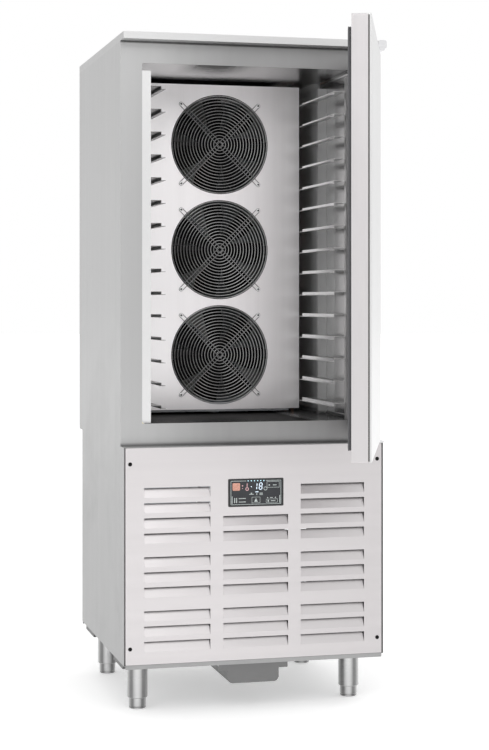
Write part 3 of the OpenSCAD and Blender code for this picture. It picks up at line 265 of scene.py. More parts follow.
def mesh_piece(name, points, faces, body, slot, material, replaces=(), smooth=True):
    """A mesh object from arrays of points and faces, riding on a body."""
    mesh = bpy.data.meshes.new(name)
    mesh.from_pydata(np.asarray(points).tolist(), [], [list(map(int, f)) for f in faces])
    mesh.update()
    mesh.polygons.foreach_set("use_smooth", np.full(len(mesh.polygons), smooth))
    piece = bpy.data.objects.new(name, mesh)
    bpy.context.scene.collection.objects.link(piece)
    mesh.materials.append(material)
    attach(piece, body)
    if replaces:
        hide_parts(*replaces)
    return piece


def grid_faces(rows, cols, wrap_rows=False, wrap_cols=True):
    """Quads between neighbouring points of a grid stored row after row."""
    r = np.arange(rows if wrap_rows else rows - 1)
    c = np.arange(cols if wrap_cols else cols - 1)
    r, c = [a.ravel() for a in np.meshgrid(r, c, indexing="ij")]
    r2, c2 = (r + 1) % rows, (c + 1) % cols
    return np.stack([r * cols + c, r * cols + c2, r2 * cols + c2, r2 * cols + c], axis=1)


def join(parts):
    """One set of points and faces from several, with the face numbers moved on."""
    points, faces, start = [], [], 0
    for p, f in parts:
        points.append(p)
        faces += [[int(i) + start for i in face] for face in f]
        start += len(p)
    return np.concatenate(points), faces


def door_swing(points):
    """Turns points of the shut door about the hinge axis to where the door stands open."""
    c, s = math.cos(DOOR_OPEN), math.sin(DOOR_OPEN)
    rel = np.asarray(points) - HINGE
    turned = np.stack([rel[:, 0] * c - rel[:, 1] * s, rel[:, 0] * s + rel[:, 1] * c, rel[:, 2]], axis=1)
    return turned + HINGE


def turned_head(profile, polar, centre, steps):
    """A screw head facing -Y: radius r(u)*(1 + k(u)*(polar(v) - 1)) at height h(u), closed at the pole.

    Each row of the profile is radius, height towards the viewer and k, the share of the recess outline in it. Radius
    and height are in mm.
    """
    v = np.linspace(0, 2 * math.pi, steps, endpoint=False)
    r, h, k = (np.array(profile) * [MM, MM, 1]).T
    radius = r[:, None] * (1 + k[:, None] * (polar(v)[None, :] - 1))
    rows = np.stack([radius * np.cos(v), np.broadcast_to(-h[:, None], radius.shape), radius * np.sin(v)], axis=2)
    points = rows.reshape(-1, 3) + np.asarray(centre)
    pole = len(points)
    points = np.vstack([points, np.asarray(centre) + [0, -h[-1], 0]])
    last = (len(r) - 1) * steps
    faces = grid_faces(len(r), steps).tolist()
    faces += [[last + i, last + (i + 1) % steps, pole] for i in range(steps)]
    faces.append(list(range(steps - 1, -1, -1)))
    return points, faces


def hexagon(v):
    """Distance to the side of a hexagon as a share of the distance to its corner."""
    return math.cos(math.pi / 6) / np.cos((v % (math.pi / 3)) - math.pi / 6)


def cross(v):
    """Outline of a cross recess: long in four directions, short between them."""
    return 0.42 + 0.58 * np.abs(np.cos(2 * v)) ** 6


def rounded_path(half_w, half_h, r, steps):
    """Points and outward directions round a rectangle with round corners, in its own plane."""
    places, normals = [], []
    for sx, sz, start in ((1, 1, 0), (-1, 1, 90), (-1, -1, 180), (1, -1, 270)):
        a = np.radians(np.linspace(start, start + 90, steps))
        out = np.stack([np.cos(a), np.sin(a)], axis=1)
        places.append(np.array([sx * (half_w - r), sz * (half_h - r)]) + r * out)
        normals.append(out)
    return np.concatenate(places), np.concatenate(normals)


def prism(outline, y_back, y_front):
    """A flat plate facing -Y from an outline in X and Z that runs anticlockwise seen from the front."""
    outline = np.asarray(outline, float)
    n = len(outline)
    ring = np.insert(outline, 1, y_front, axis=1)
    back = np.insert(outline, 1, y_back, axis=1)
    i = np.arange(n)
    sides = np.stack([i, i + n, (i + 1) % n + n, (i + 1) % n], axis=1)
    return np.vstack([ring, back]), [i.tolist(), (2 * n - 1 - i).tolist()] + sides.tolist()


def frame_plate(x0, x1, z0, z1, t, y_back, y_front):
    """A rectangular line of width t, made of four bars with mitred corners."""
    o = [(x0, z0), (x1, z0), (x1, z1), (x0, z1)]
    i = [(x0 + t, z0 + t), (x1 - t, z0 + t), (x1 - t, z1 - t), (x0 + t, z1 - t)]
    return join([prism([o[k], o[(k + 1) % 4], i[(k + 1) % 4], i[k]], y_back, y_front) for k in range(4)])


def disc(x, z, r, steps=20):
    """Outline of a circle."""
    a = np.linspace(0, 2 * math.pi, steps, endpoint=False)
    return np.stack([x + r * np.cos(a), z + r * np.sin(a)], axis=1)


def pill(x0, x1, z0, z1, share=0.9):
    """Outline of a bar whose corners are rounded by a share of half its width."""
    r = min(x1 - x0, z1 - z0) / 2 * share
    places, _ = rounded_path((x1 - x0) / 2, (z1 - z0) / 2, r, 5)
    return places + np.array([(x0 + x1) / 2, (z0 + z1) / 2])


def ring_plate(x, z, r, t, y_back, y_front, steps=28):
    """A flat ring, made of short mitred bars between two circles."""
    o, i = disc(x, z, r, steps), disc(x, z, r - t, steps)
    return join([prism([o[k], o[(k + 1) % steps], i[(k + 1) % steps], i[k]], y_back, y_front) for k in range(steps)])


# Node groups ---------------------------------------------------------------


class Nodes:
    """Adds nodes to a tree, with sockets given as values or as other nodes' outputs."""

    def __init__(self, tree):
        self.tree = tree

    def add(self, kind, inputs=None, **settings):
        node = self.tree.nodes.new(kind)
        for key, value in settings.items():
            setattr(node, key, value)
        for key, value in (inputs or {}).items():
            if isinstance(value, bpy.types.NodeSocket):
                self.tree.links.new(value, node.inputs[key])
            else:
                node.inputs[key].default_value = value
        return node

    def math(self, operation, a, b=0.0, clamp=False):
        return self.add("ShaderNodeMath", {0: a, 1: b}, operation=operation, use_clamp=clamp).outputs[0]

    def vector(self, operation, a, b=(0, 0, 0), output="Vector"):
        return self.add("ShaderNodeVectorMath", {0: a, 1: b}, operation=operation).outputs[output]

    def noise(self, place, scale, detail, **more):
        return self.add("ShaderNodeTexNoise", {"Vector": place, "Scale": scale, "Detail": detail, **more}).outputs[0]

    def blend(self, factor, a, b):
        """Colour a where the factor is 0 and colour b where it is 1."""
        node = self.add("ShaderNodeMix", {0: factor}, data_type="RGBA")
        for socket, value in ((node.inputs[6], a), (node.inputs[7], b)):
            if isinstance(value, bpy.types.NodeSocket):
                self.tree.links.new(value, socket)
            else:
                socket.default_value = (*value[:3], 1.0)
        return node.outputs[2]

    def spread(self, value, lo, hi, to_lo, to_hi):
        """Maps one range to another, held at its ends."""
        keys = {"Value": value, "From Min": lo, "From Max": hi, "To Min": to_lo, "To Max": to_hi}
        return self.add("ShaderNodeMapRange", keys).outputs[0]


def new_group(name, inputs, outputs):
    """A shader node group with its sockets: inputs are name, type and default."""
    tree = bpy.data.node_groups.new(name, "ShaderNodeTree")
    for label, kind, default in inputs:
        socket = tree.interface.new_socket(label, in_out="INPUT", socket_type=kind)
        socket.default_value = default
    for label, kind in outputs:
        tree.interface.new_socket(label, in_out="OUTPUT", socket_type=kind)
    n = Nodes(tree)
    return tree, n, n.add("NodeGroupInput").outputs, n.add("NodeGroupOutput").inputs


def grain_group():
    """Brushed grain: noise drawn out along the brushing, as fine lines and as broad soft bands."""
    tree, n, given, out = new_group(
        "Brushed grain",
        [("Vector", "NodeSocketVector", (0, 0, 0)), ("Stretch", "NodeSocketVector", (1, 1, 1)),
         ("Fineness", "NodeSocketFloat", 700.0)],
        [("Lines", "NodeSocketFloat"), ("Bands", "NodeSocketFloat")],
    )
    drawn = n.vector("MULTIPLY", given["Vector"], given["Stretch"])
    fine = n.noise(drawn, given["Fineness"], 3.0, Roughness=0.65)
    broad = n.noise(drawn, n.math("MULTIPLY", given["Fineness"], 0.035), 2.0, Roughness=0.5)
    tree.links.new(n.spread(fine, 0.3, 0.7, 0.0, 1.0), out["Lines"])
    tree.links.new(n.spread(broad, 0.3, 0.7, 0.0, 1.0), out["Bands"])
    return tree


def smudge_group():
    """Hand marks and wiping: two sizes of cloudy noise multiplied."""
    tree, n, given, out = new_group(
        "Wiped smudges",
        [("Vector", "NodeSocketVector", (0, 0, 0)), ("Size", "NodeSocketFloat", 5.0)],
        [("Mask", "NodeSocketFloat")],
    )
    big = n.noise(given["Vector"], given["Size"], 3.0, Distortion=0.6)
    small = n.noise(given["Vector"], n.math("MULTIPLY", given["Size"], 7.0), 4.0)
    mask = n.math("MULTIPLY", n.spread(big, 0.45, 0.7, 0.0, 1.0), n.spread(small, 0.3, 0.7, 0.3, 1.0))
    tree.links.new(mask, out["Mask"])
    return tree


def edge_group():
    """Worn edges of a box: 1 where two of the distances to its faces are small, broken up by noise."""
    tree, n, given, out = new_group(
        "Edge wear",
        [("Vector", "NodeSocketVector", (0, 0, 0)), ("Half size", "NodeSocketVector", (0.5, 0.5, 0.5)),
         ("Width", "NodeSocketFloat", 0.004)],
        [("Mask", "NodeSocketFloat")],
    )
    gap = n.vector("SUBTRACT", given["Half size"], n.vector("ABSOLUTE", given["Vector"]))
    part = n.add("ShaderNodeSeparateXYZ", {0: gap}).outputs
    low = n.math("MINIMUM", part[0], part[1])
    high = n.math("MAXIMUM", part[0], part[1])
    second = n.math("MAXIMUM", low, n.math("MINIMUM", high, part[2]))
    broken = n.spread(n.noise(given["Vector"], 40.0, 4.0), 0.35, 0.65, 0.2, 1.0)
    worn = n.math("SUBTRACT", 1.0, n.math("DIVIDE", second, given["Width"]), clamp=True)
    tree.links.new(n.math("MULTIPLY", worn, broken), out["Mask"])
    return tree


def ramp_group():
    """Soft change across a piece: 0 at one point and 1 at another, smooth between them."""
    tree, n, given, out = new_group(
        "Soft ramp",
        [("Vector", "NodeSocketVector", (0, 0, 0)), ("Start", "NodeSocketVector", (0, 0, 0)),
         ("End", "NodeSocketVector", (0, 0, 1))],
        [("Mask", "NodeSocketFloat")],
    )
    way = n.vector("SUBTRACT", given["End"], given["Start"])
    gone = n.vector("SUBTRACT", given["Vector"], given["Start"])
    along = n.vector("DOT_PRODUCT", gone, way, output="Value")
    whole = n.vector("DOT_PRODUCT", way, way, output="Value")
    keys = {"Value": n.math("DIVIDE", along, whole)}
    tree.links.new(n.add("ShaderNodeMapRange", keys, interpolation_type="SMOOTHSTEP").outputs[0], out["Mask"])
    return tree


GROUPS = {}


def group(name):
    """The named node group, built the first time it is asked for."""
    makers = {"grain": grain_group, "smudge": smudge_group, "edge": edge_group, "ramp": ramp_group}
    if name not in GROUPS:
        GROUPS[name] = makers[name]()
    return GROUPS[name]


# Materials -----------------------------------------------------------------


def shader_of(material):
    """The Principled shader of a material."""
    return next(x for x in material.node_tree.nodes if x.type == "BSDF_PRINCIPLED")


def new_material(name):
    """An empty material with its Principled shader and the node adder."""
    material = bpy.data.materials.new(name)
    material.use_nodes = True
    return material, Nodes(material.node_tree), shader_of(material)


def place_group(n, name, inputs):
    """A copy of a node group in a material."""
    node = n.add("ShaderNodeGroup", node_tree=group(name))
    for key, value in inputs.items():
        if isinstance(value, bpy.types.NodeSocket):
            n.tree.links.new(value, node.inputs[key])
        else:
            node.inputs[key].default_value = value
    return node.outputs


def kept_light(n, shades, low):
    """Share of light kept under soft shades, as far as the mask for low viewing angles lets them act together.

    Each shade is a share of dark and the ends of its ramps, whose masks are multiplied.
    """
    place = n.add("ShaderNodeTexCoord").outputs["Object"]
    kept = 1.0
    for amount, *ramps in shades:
        mask = amount
        for start, end in ramps:
            part = place_group(n, "ramp", {"Vector": place, "Start": start, "End": end})["Mask"]
            mask = n.math("MULTIPLY", mask, part)
        kept = n.math("MULTIPLY", kept, n.math("SUBTRACT", 1.0, mask))
    return n.math("SUBTRACT", 1.0, n.math("MULTIPLY", n.math("SUBTRACT", 1.0, kept), low))


def brushed(name, colour, stretch, roughness, box=None, turn=0.0, fineness=700.0, wear=0.25, relief=0.12, shades=(),
            dulling_shades=(), rim_shade=0.0, painted_sheen=0.0, grazing=False):
    """Brushed stainless sheet: grain along one way, soft bands, smudges, paler worn edges and painted shade in places.

    Painted shade darkens the colour, and its dulling shades take metal away. A painted rim shade darkens a round post
    towards its sides, a painted sheen pales a sheet seen along its face, and with grazing on the painted shade shows
    only at such low angles, as reflections do.
    """
    material, n, shader = new_material(name)
    links = n.tree.links
    lo, hi = box if box else cad_box
    centre, half = (Vector(lo) + Vector(hi)) / 2, (Vector(hi) - Vector(lo)) / 2
    keys = {"Vector": n.add("ShaderNodeTexCoord").outputs["Object"], "Location": centre, "Rotation": (0, 0, turn)}
    place = n.add("ShaderNodeMapping", keys, vector_type="TEXTURE").outputs[0]
    grain = place_group(n, "grain", {"Vector": place, "Stretch": stretch, "Fineness": fineness})
    smudge = place_group(n, "smudge", {"Vector": place, "Size": 4.0})["Mask"]
    edge = place_group(n, "edge", {"Vector": place, "Half size": half, "Width": 0.004})["Mask"]
    dark = tuple(c * 0.96 for c in colour)
    pale = tuple(min(1.0, c * 1.03) for c in colour)
    worn = tuple(min(1.0, c * 1.12 + 0.04) for c in colour)
    streaks = n.math("ADD", n.math("MULTIPLY", grain["Lines"], 0.4), n.math("MULTIPLY", grain["Bands"], 0.6))
    tone = n.blend(n.math("MULTIPLY", edge, wear), n.blend(streaks, dark, pale), worn)
    if grazing or painted_sheen or rim_shade:
        facing = n.add("ShaderNodeLayerWeight", {"Blend": 0.5}).outputs["Facing"]
    shader.inputs["Metallic"].default_value = 1.0
    # Painted shade: darker colour, and less metal where it is deep or dulled
    if shades:
        low = n.spread(facing, 0.5, 0.7, 0.0, 1.0) if grazing else 1.0
        kept = kept_light(n, shades, low)
        tone = n.blend(kept, (0, 0, 0), tone)
        metal = n.math("MULTIPLY", n.spread(kept, 0.0, 0.5, 0.0, 1.0), kept_light(n, dulling_shades, low))
        links.new(metal, shader.inputs["Metallic"])
        shader.inputs["Specular IOR Level"].default_value = 0.0
    # Painted sheen: paler where the sheet is seen along its face
    if painted_sheen:
        tone = n.blend(n.spread(facing, 0.82, 0.94, 0.0, painted_sheen), tone, (1, 1, 1))
    # Painted rim shade: a dark band near the sides of a round post
    if rim_shade:
        inner, outer = n.spread(facing, 0.01, 0.15, 0.0, rim_shade), n.spread(facing, 0.28, 0.62, 0.0, rim_shade * 0.7)
        tone = n.blend(n.math("SUBTRACT", inner, outer), tone, (0, 0, 0))
    rough = n.math("ADD", roughness - 0.06, n.math("MULTIPLY", grain["Lines"], 0.10))
    rough = n.math("ADD", rough, n.math("MULTIPLY", smudge, 0.07))
    links.new(tone, shader.inputs["Base Color"])
    links.new(rough, shader.inputs["Roughness"])
    bump = n.add("ShaderNodeBump", {"Height": grain["Lines"], "Strength": relief, "Distance": 0.0002})
    links.new(bump.outputs[0], shader.inputs["Normal"])
    return material


def moulded(name, colour, roughness, grain=900.0, relief=0.15, metallic=0.0, spread=0.25, specular=0.5):
    """Moulded plastic, paint or rubber: fine pebble relief, soft colour changes and dust in broad clouds."""
    material, n, shader = new_material(name)
    place = n.add("ShaderNodeTexCoord").outputs["Object"]
    pebble = n.noise(place, grain, 3.0)
    smudge = place_group(n, "smudge", {"Vector": place, "Size": 9.0})["Mask"]
    pale = tuple(min(1.0, c * (1 + spread) + 0.048 * spread) for c in colour)
    tone = n.blend(n.math("MULTIPLY", smudge, 0.8), colour, pale)
    rough = n.math("ADD", roughness, n.math("MULTIPLY", n.math("SUBTRACT", pebble, 0.5), 0.2))
    rough = n.math("ADD", rough, n.math("MULTIPLY", smudge, 0.08), clamp=True)
    n.tree.links.new(tone, shader.inputs["Base Color"])
    n.tree.links.new(rough, shader.inputs["Roughness"])
    shader.inputs["Metallic"].default_value = metallic
    shader.inputs["Specular IOR Level"].default_value = specular
    bump = n.add("ShaderNodeBump", {"Height": pebble, "Strength": relief, "Distance": 0.0003})
    n.tree.links.new(bump.outputs[0], shader.inputs["Normal"])
    return material


def glowing(name, colour, light):
    """A lit mark behind glass, slightly uneven in its light. On printed marks the glow is painted light."""
    material, n, shader = new_material(name)
    place = n.add("ShaderNodeTexCoord").outputs["Object"]
    cloud = n.noise(place, 220.0, 2.0)
    rack_in_painted_shade = tuple(c * 0.75 for c in colour)
    tone = n.blend(n.spread(cloud, 0.35, 0.65, 0.0, 1.0), rack_in_painted_shade, colour)
    n.tree.links.new(tone, shader.inputs["Base Color"])
    n.tree.links.new(tone, shader.inputs["Emission Color"])
    shader.inputs["Emission Strength"].default_value = light
    shader.inputs["Roughness"].default_value = 0.35
    return material


def dress(material, *nodes):
    """Gives CAD nodes a material through their material slots."""
    for node in nodes:
        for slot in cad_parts[node].material_slots:
            slot.material = material


# Operators -----------------------------------------------------------------


class CHILLER_OT_sheets(Operator):
    """Brushed finishes of the cabinet, chamber, rack, door and legs"""

    bl_idname = "chiller.sheets"
    bl_label = "Brushed sheets"

    def execute(self, context):
        steel = context.scene.chiller_steel
        r = steel.roughness
        rack_r, liner_r = r - 0.05, r - 0.16
        # Painted shade on these sheets comes from the shade lists above
        for node in ("left_side_panel", "right_side_panel"):
            dress(brushed(node + "_steel", steel.body, UPRIGHT, r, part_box(node), shades=BODY_SHADES), node)
        dress(brushed("cap_steel", steel.cap, LEVEL, r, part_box("top_cap")), "top_cap")
        dress(brushed("casing_steel", steel.body, UPRIGHT, r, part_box("lower_casing"), shades=BODY_SHADES),
              "lower_casing", "base_plate")
        dress(brushed("front_panel_steel", steel.panel, LEVEL, r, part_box("louvred_front_panel"), shades=PANEL_SHADES),
              "louvred_front_panel")
        dress(brushed("frame_steel", steel.jamb, UPRIGHT, r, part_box("front_frame"), shades=FRAME_SHADES),
              "front_frame")
        # The liner's painted shade and dulling shades stand for dark reflections and act only at low angles
        dress(brushed("liner_steel", steel.liner, UPRIGHT, liner_r, shades=LINER_SHADES, dulling_shades=LINER_DULLING_SHADES,
                      grazing=True), "chamber_liner")
        dress(brushed("fan_panel_steel", steel.fans, UPRIGHT, r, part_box("fan_panel"), shades=FAN_PANEL_SHADES),
              "fan_panel")
        dress(brushed("rack_steel", steel.rack, UPRIGHT, rack_r, shades=RACK_SHADES), "rack_uprights")
        dress(brushed("rail_steel", steel.rack, DEEP, rack_r), "right_rails")
        # Painted shade: the left rails get a darker copy of the rack's steel
        rack_in_painted_shade = tuple(c * LEFT_RAILS_LIGHT for c in steel.rack)
        dress(brushed("left_rail_steel", rack_in_painted_shade, DEEP, rack_r), "left_rails")
        middle = door_swing([[0, sum(DOOR_Y) / 2, sum(DOOR_Z) / 2]])[0]
        half = np.array([DOOR_HALF, (DOOR_Y[1] - DOOR_Y[0]) / 2, (DOOR_Z[1] - DOOR_Z[0]) / 2])
        box = (middle - half, middle + half)
        # The outer pan gets a painted sheen where it is seen along its face
        for node, colour, painted_sheen in (("door_outer_pan", steel.door, 0.5), ("door_inner_pan", steel.door_inner, 0.0)):
            dress(brushed(node + "_steel", colour, UPRIGHT, r, box, turn=DOOR_OPEN, painted_sheen=painted_sheen), node)
        # The legs get a painted rim shade towards their sides
        dress(brushed("leg_steel", steel.leg, ROUND, 0.30, fineness=500.0, relief=0.3, rim_shade=0.68),
              "leg_sleeves", "foot_front_left", "foot_front_right", "foot_rear_left", "foot_rear_right")
        dress(brushed("tray_steel", steel.tray, DEEP, 0.42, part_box("drip_tray")), "drip_tray")
        dress(brushed("hinge_steel", steel.hinge, LEVEL, 0.34), "upper_hinge", "lower_hinge")
        dress(brushed("guard_wire_steel", steel.wire, EVEN, 0.30, relief=0.05, shades=GUARD_ARM_SHADES),
              "fan_guards")
        return {"FINISHED"}


class CHILLER_OT_machinery(Operator):
    """Galvanised sheet, paint, copper, rubber and plastic of the working parts"""

    bl_idname = "chiller.machinery"
    bl_label = "Working parts"

    def execute(self, context):
        dress(brushed("galvanised_sheet", (0.56, 0.58, 0.60), EVEN, 0.48, fineness=60.0, relief=0.05),
              "back_panel", "compartment_ceiling", "rear_vent_panel", "tray_runners", "evaporator_drain_pan",
              "condenser_shroud")
        # Painted shade: the coils' fins are much darker than bare aluminium, as they lie in shade
        dress(brushed("fin_aluminium_in_painted_shade", (0.30, 0.30, 0.31), FINS, 0.35), "evaporator_coil", "condenser_coil")
        dress(brushed("copper_lines", (0.72, 0.40, 0.27), EVEN, 0.30, fineness=80.0), "refrigerant_pipes")
        dress(moulded("foam_fill", (0.80, 0.72, 0.48), 0.9, grain=300.0, relief=0.6), "insulation_foam", "door_foam")
        dress(moulded("plate_paint", (0.13, 0.13, 0.13), 0.5), "leg_plates")
        dress(moulded("motor_paint", (0.012, 0.012, 0.013), 0.6), "fan_motors", "condenser_motor")
        dress(moulded("shell_paint", (0.012, 0.012, 0.012), 0.30, grain=150.0, relief=0.2), "compressor", "receiver")
        dress(moulded("box_paint", (0.55, 0.55, 0.53), 0.5), "electrical_box")
        dress(moulded("fan_plastic", (0.003, 0.003, 0.003), 0.75, spread=0.1, specular=0.04),
              "impeller_upper", "impeller_middle", "impeller_lower", "condenser_impeller")
        dress(moulded("break_plastic", (0.02, 0.02, 0.02), 0.6), "door_thermal_break", "door_hinge_bushes")
        dress(moulded("drain_plastic", (0.35, 0.35, 0.35), 0.5), "drain_pipe")
        dress(moulded("gland_plastic", (0.03, 0.03, 0.03), 0.5), "cable_gland")
        dress(moulded("mount_rubber", (0.015, 0.015, 0.015), 0.8, grain=500.0), "compressor_mounts")
        dress(moulded("bezel_plastic", (0.010, 0.010, 0.011), 0.42), "control_bezel", "controller_box")
        dress(moulded("glass_face", (0.012, 0.014, 0.018), 0.14, relief=0.01), "control_glass")
        dress(moulded("key_plastic", (0.016, 0.017, 0.02), 0.22, relief=0.03), "key_left", "key_centre", "key_right")
        return {"FINISHED"}


class CHILLER_OT_gasket(Operator):
    """Magnetic door gasket with its bellows"""

    bl_idname = "chiller.gasket"
    bl_label = "Door gasket"

    def execute(self, context):
        """Carries the section round the door: place = path + across * outward + height * normal of the door."""
        section, inset = np.array(GASKET_SECTION) * MM, GASKET_INSET * MM
        half_w, half_h = DOOR_HALF - inset, (DOOR_Z[1] - DOOR_Z[0]) / 2 - inset
        path, outward = rounded_path(half_w, half_h, GASKET_CORNER * MM, 6)
        middle = np.array([0.0, sum(DOOR_Z) / 2])
        flat = (path + middle)[:, None, :] + outward[:, None, :] * section[None, :, 0, None]
        height = np.broadcast_to(DOOR_Y[1] + section[:, 1], flat.shape[:2])
        points = np.stack([flat[..., 0], height, flat[..., 1]], axis=2).reshape(-1, 3)
        faces = grid_faces(len(path), len(section), wrap_rows=True)[:, ::-1]
        rubber = moulded("gasket_rubber", (0.10, 0.10, 0.105), 0.55, grain=600.0, relief=0.1)
        mesh_piece("magnetic_gasket", door_swing(points), faces, "door", "gasket_rubber", rubber, ("door_gasket",),
                   smooth=False)
        return {"FINISHED"}


class CHILLER_OT_screws(Operator):
    """Socket screws of the front panel and cross-head screws of the fan guards"""

    bl_idname = "chiller.screws"
    bl_label = "Screws"

    def execute(self, context):
        black = moulded("black_screw", (0.015, 0.015, 0.015), 0.32, metallic=1.0)
        place_y = FRONT_Y - SOCKET_GAP * MM
        sockets = [turned_head(SOCKET_HEAD, hexagon, (x, place_y, z), 36) for x, z in PANEL_SCREWS]
        mesh_piece("socket_screws", *join(sockets), "cabinet", "black_screws", black, ("front_panel_screws",))
        diagonal = ARM_REACH * math.sqrt(0.5)
        places = [(x * diagonal, z + up * diagonal) for z in FAN_Z for x in (-1, 1) for up in (-1, 1)]
        bright = brushed("guard_washer_steel", (0.85, 0.85, 0.85), EVEN, 0.3, relief=0.02)
        washers = [turned_head(WASHER, hexagon, (x, GUARD_FACE_Y, z), 32) for x, z in places]
        mesh_piece("guard_washers", *join(washers), "cabinet", "dark_screws", bright, ("guard_screws",))
        dark = brushed("guard_screw_steel", (0.12, 0.12, 0.12), EVEN, 0.3, relief=0.02)
        heads = [turned_head(PAN_HEAD, cross, (x, GUARD_FACE_Y + PAN_SINK * MM, z), 40) for x, z in places]
        mesh_piece("guard_screw_heads", *join(heads), "cabinet", "dark_screws", dark)
        return {"FINISHED"}


def digit_parts(value, x, z, w, h, t, y_back, y_front):
    """The lit bars of a seven-part digit with its foot at x, z, leaning a little."""
    bars = {
        "a": [(0, 2), (1, 2)], "b": [(1, 2), (1, 1)], "c": [(1, 1), (1, 0)], "d": [(0, 0), (1, 0)],
        "e": [(0, 0), (0, 1)], "f": [(0, 1), (0, 2)], "g": [(0, 1), (1, 1)],
    }
    parts = []
    for key in SEGMENTS[value]:
        a, b = [np.array([p[0] * w, p[1] * h / 2]) for p in bars[key]]
        along = (b - a) / np.linalg.norm(b - a)
        side = np.array([along[1], -along[0]]) * t / 2
        tip = along * t / 2
        a, b = a + tip * 0.7, b - tip * 0.7
        outline = np.array([a, a + tip + side, b - tip + side, b, b - tip - side, a + tip - side])
        outline = outline + (x, z) + outline[:, 1:] * (DIGIT_LEAN, 0)
        area = np.sum(outline[:, 0] * np.roll(outline[:, 1], -1) - np.roll(outline[:, 0], -1) * outline[:, 1])
        parts.append(prism(outline if area > 0 else outline[::-1], y_back, y_front))
    return parts


class CHILLER_OT_control_face(Operator):
    """Lit digits, indicator and printed marks of the control panel"""

    bl_idname = "chiller.control_face"
    bl_label = "Control face"

    def execute(self, context):
        """Sets flat plates a little off the glass, from outlines in mm."""
        control = context.scene.chiller_control
        back, front = 0.0, -MARK_DEPTH * MM
        # Printed marks glow a little too: painted light on the print, which is no lamp
        print_grey_painted_glow = glowing("key_print_painted_glow", control.mark, 0.25)
        for name, body, slot, material in (
            ("lit_digits", "cabinet", "display_glass", glowing("digit_light", control.digit, 0.9)),
            ("lit_indicator", "cabinet", "display_glass", glowing("indicator_light", control.lamp, 0.4)),
            ("lit_thermometer", "cabinet", "display_glass", glowing("thermometer_light", (0.62, 0.36, 0.38), 0.3)),
            ("lit_dots", "cabinet", "display_glass", glowing("dot_light", (0.45, 0.72, 0.82), 0.7)),
            ("printed_marks", "cabinet", "display_glass", glowing("mark_print_painted_glow", control.mark, 0.25)),
            ("key_marks_left", "key_left", "key_plastic", print_grey_painted_glow),
            ("key_marks_centre", "key_centre", "key_plastic", print_grey_painted_glow),
            ("key_marks_right", "key_right", "key_plastic", print_grey_painted_glow),
        ):
            marks = MARKS[name]
            outlines = [pill(*bar) for bar in marks.get("bars", ())] + [disc(*dot) for dot in marks.get("dots", ())]
            parts = [prism(outline, back, front) for outline in outlines + marks.get("plates", [])]
            parts += [frame_plate(*line, back, front) for line in marks.get("frames", ())]
            parts += [ring_plate(*line, back, front) for line in marks.get("rings", ())]
            if name == "lit_digits":
                for value, foot in zip(divmod(control.number, 10), DIGIT_FEET):
                    parts += digit_parts(value, *foot, *DIGIT_SIZE, back, front)
            points, faces = join(parts)
            points = points * [MM, 1, MM] + [0, GLASS_Y - MARK_GAP * MM, DISPLAY_Z]
            mesh_piece(name, points, faces, body, slot, material, smooth=False)
        return {"FINISHED"}


def soft_box(name, place, aim, size, power):
    """A square area light at a place, turned towards another."""
    data = bpy.data.lights.new(name, "AREA")
    data.size, data.energy = size, power
    light = bpy.data.objects.new(name, data)
    bpy.context.scene.collection.objects.link(light)
    light.location = place
    light.rotation_euler = (Vector(aim) - Vector(place)).to_track_quat("-Z", "Y").to_euler()


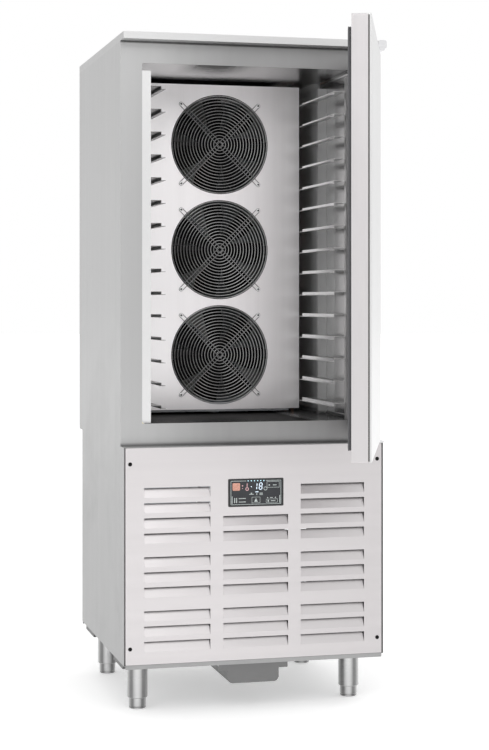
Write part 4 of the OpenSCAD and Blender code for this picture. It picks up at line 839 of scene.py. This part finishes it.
class CHILLER_OT_stage(Operator):
    """Pale floor, soft lights and the camera at the photograph's angle"""

    bl_idname = "chiller.stage"
    bl_label = "Stage"

    def execute(self, context):
        """The floor is a disc: rings of points at growing radius, height 0."""
        stage = context.scene.chiller_stage
        v = np.linspace(0, 2 * math.pi, FLOOR_STEPS, endpoint=False)
        circle = np.stack([np.cos(v), np.sin(v), 0 * v], axis=1)
        points = np.vstack([r * circle for r in FLOOR_RINGS] + [[[0, 0, 0]]])
        faces = grid_faces(len(FLOOR_RINGS), FLOOR_STEPS)[:, ::-1].tolist()
        faces += [[i, (i + 1) % FLOOR_STEPS, len(points) - 1] for i in range(FLOOR_STEPS)]
        mesh = bpy.data.meshes.new("studio_floor")
        mesh.from_pydata(points.tolist(), [], faces)
        floor = bpy.data.objects.new("studio_floor", mesh)
        context.scene.collection.objects.link(floor)
        paper = moulded("floor_paint", stage.floor, 0.7, grain=40.0, relief=0.01, spread=0.02)
        shader_of(paper).inputs["Emission Color"].default_value = (1, 1, 1, 1)
        shader_of(paper).inputs["Emission Strength"].default_value = FLOOR_GLOW
        mesh.materials.append(paper)

        world = bpy.data.worlds.new("studio_light")
        context.scene.world = world
        world.use_nodes = True
        n = Nodes(world.node_tree)
        n.tree.nodes.clear()
        way = n.add("ShaderNodeSeparateXYZ", {0: n.add("ShaderNodeTexCoord").outputs["Generated"]}).outputs
        right = n.math("MULTIPLY", way["X"], SKY_TILT)
        ahead = n.math("MULTIPLY", way["Y"], -SKY_TILT)
        soft = n.math("ADD", n.math("ADD", right, ahead), SKY)
        seen = n.add("ShaderNodeLightPath").outputs["Is Camera Ray"]
        strength = n.add("ShaderNodeMix", {0: seen, 2: soft, 3: 1.0}, data_type="FLOAT").outputs[0]
        glow = n.add("ShaderNodeBackground", {"Color": (1, 1, 1, 1), "Strength": strength})
        n.tree.links.new(glow.outputs[0], n.add("ShaderNodeOutputWorld").inputs["Surface"])

        soft_box("key_box", *KEY_BOX, stage.key)
        soft_box("fill_box", *FILL_BOX, stage.fill)

        data = bpy.data.cameras.new("camera")
        data.lens, data.sensor_width, data.shift_y = stage.focal, CAMERA_SENSOR, CAMERA_SHIFT
        camera = bpy.data.objects.new("camera", data)
        context.scene.collection.objects.link(camera)
        camera.location, camera.rotation_euler = CAMERA_PLACE, CAMERA_TURN
        context.scene.camera = camera
        context.scene.view_settings.view_transform = "Standard"
        return {"FINISHED"}


class CHILLER_PT_panel(Panel):
    """Lists the chiller's sizes, colours and pieces"""

    bl_idname = "CHILLER_PT_panel"
    bl_label = "Blast chiller"
    bl_space_type = "VIEW_3D"
    bl_region_type = "UI"
    bl_category = "Chiller"

    def draw(self, context):
        for name in VALUES:
            box = self.layout.box()
            values = getattr(context.scene, name)
            for key in type(values).__annotations__:
                box.prop(values, key)
        for operator in OPERATORS:
            self.layout.operator(operator.bl_idname)


VALUES = {"chiller_steel": ChillerSteel, "chiller_control": ChillerControl, "chiller_stage": ChillerStage}
OPERATORS = (
    CHILLER_OT_stage, CHILLER_OT_sheets, CHILLER_OT_machinery, CHILLER_OT_gasket, CHILLER_OT_screws,
    CHILLER_OT_control_face,
)


def register():
    for cls in (*VALUES.values(), *OPERATORS, CHILLER_PT_panel):
        bpy.utils.register_class(cls)
    for name, cls in VALUES.items():
        setattr(bpy.types.Scene, name, PointerProperty(type=cls))


def unregister():
    for name in VALUES:
        delattr(bpy.types.Scene, name)
    for cls in (CHILLER_PT_panel, *reversed(OPERATORS), *VALUES.values()):
        bpy.utils.unregister_class(cls)


def main():
    """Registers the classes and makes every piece."""
    register()
    bpy.ops.chiller.stage()
    bpy.ops.chiller.sheets()
    bpy.ops.chiller.machinery()
    bpy.ops.chiller.gasket()
    bpy.ops.chiller.screws()
    bpy.ops.chiller.control_face()


if __name__ == "__main__":
    main()
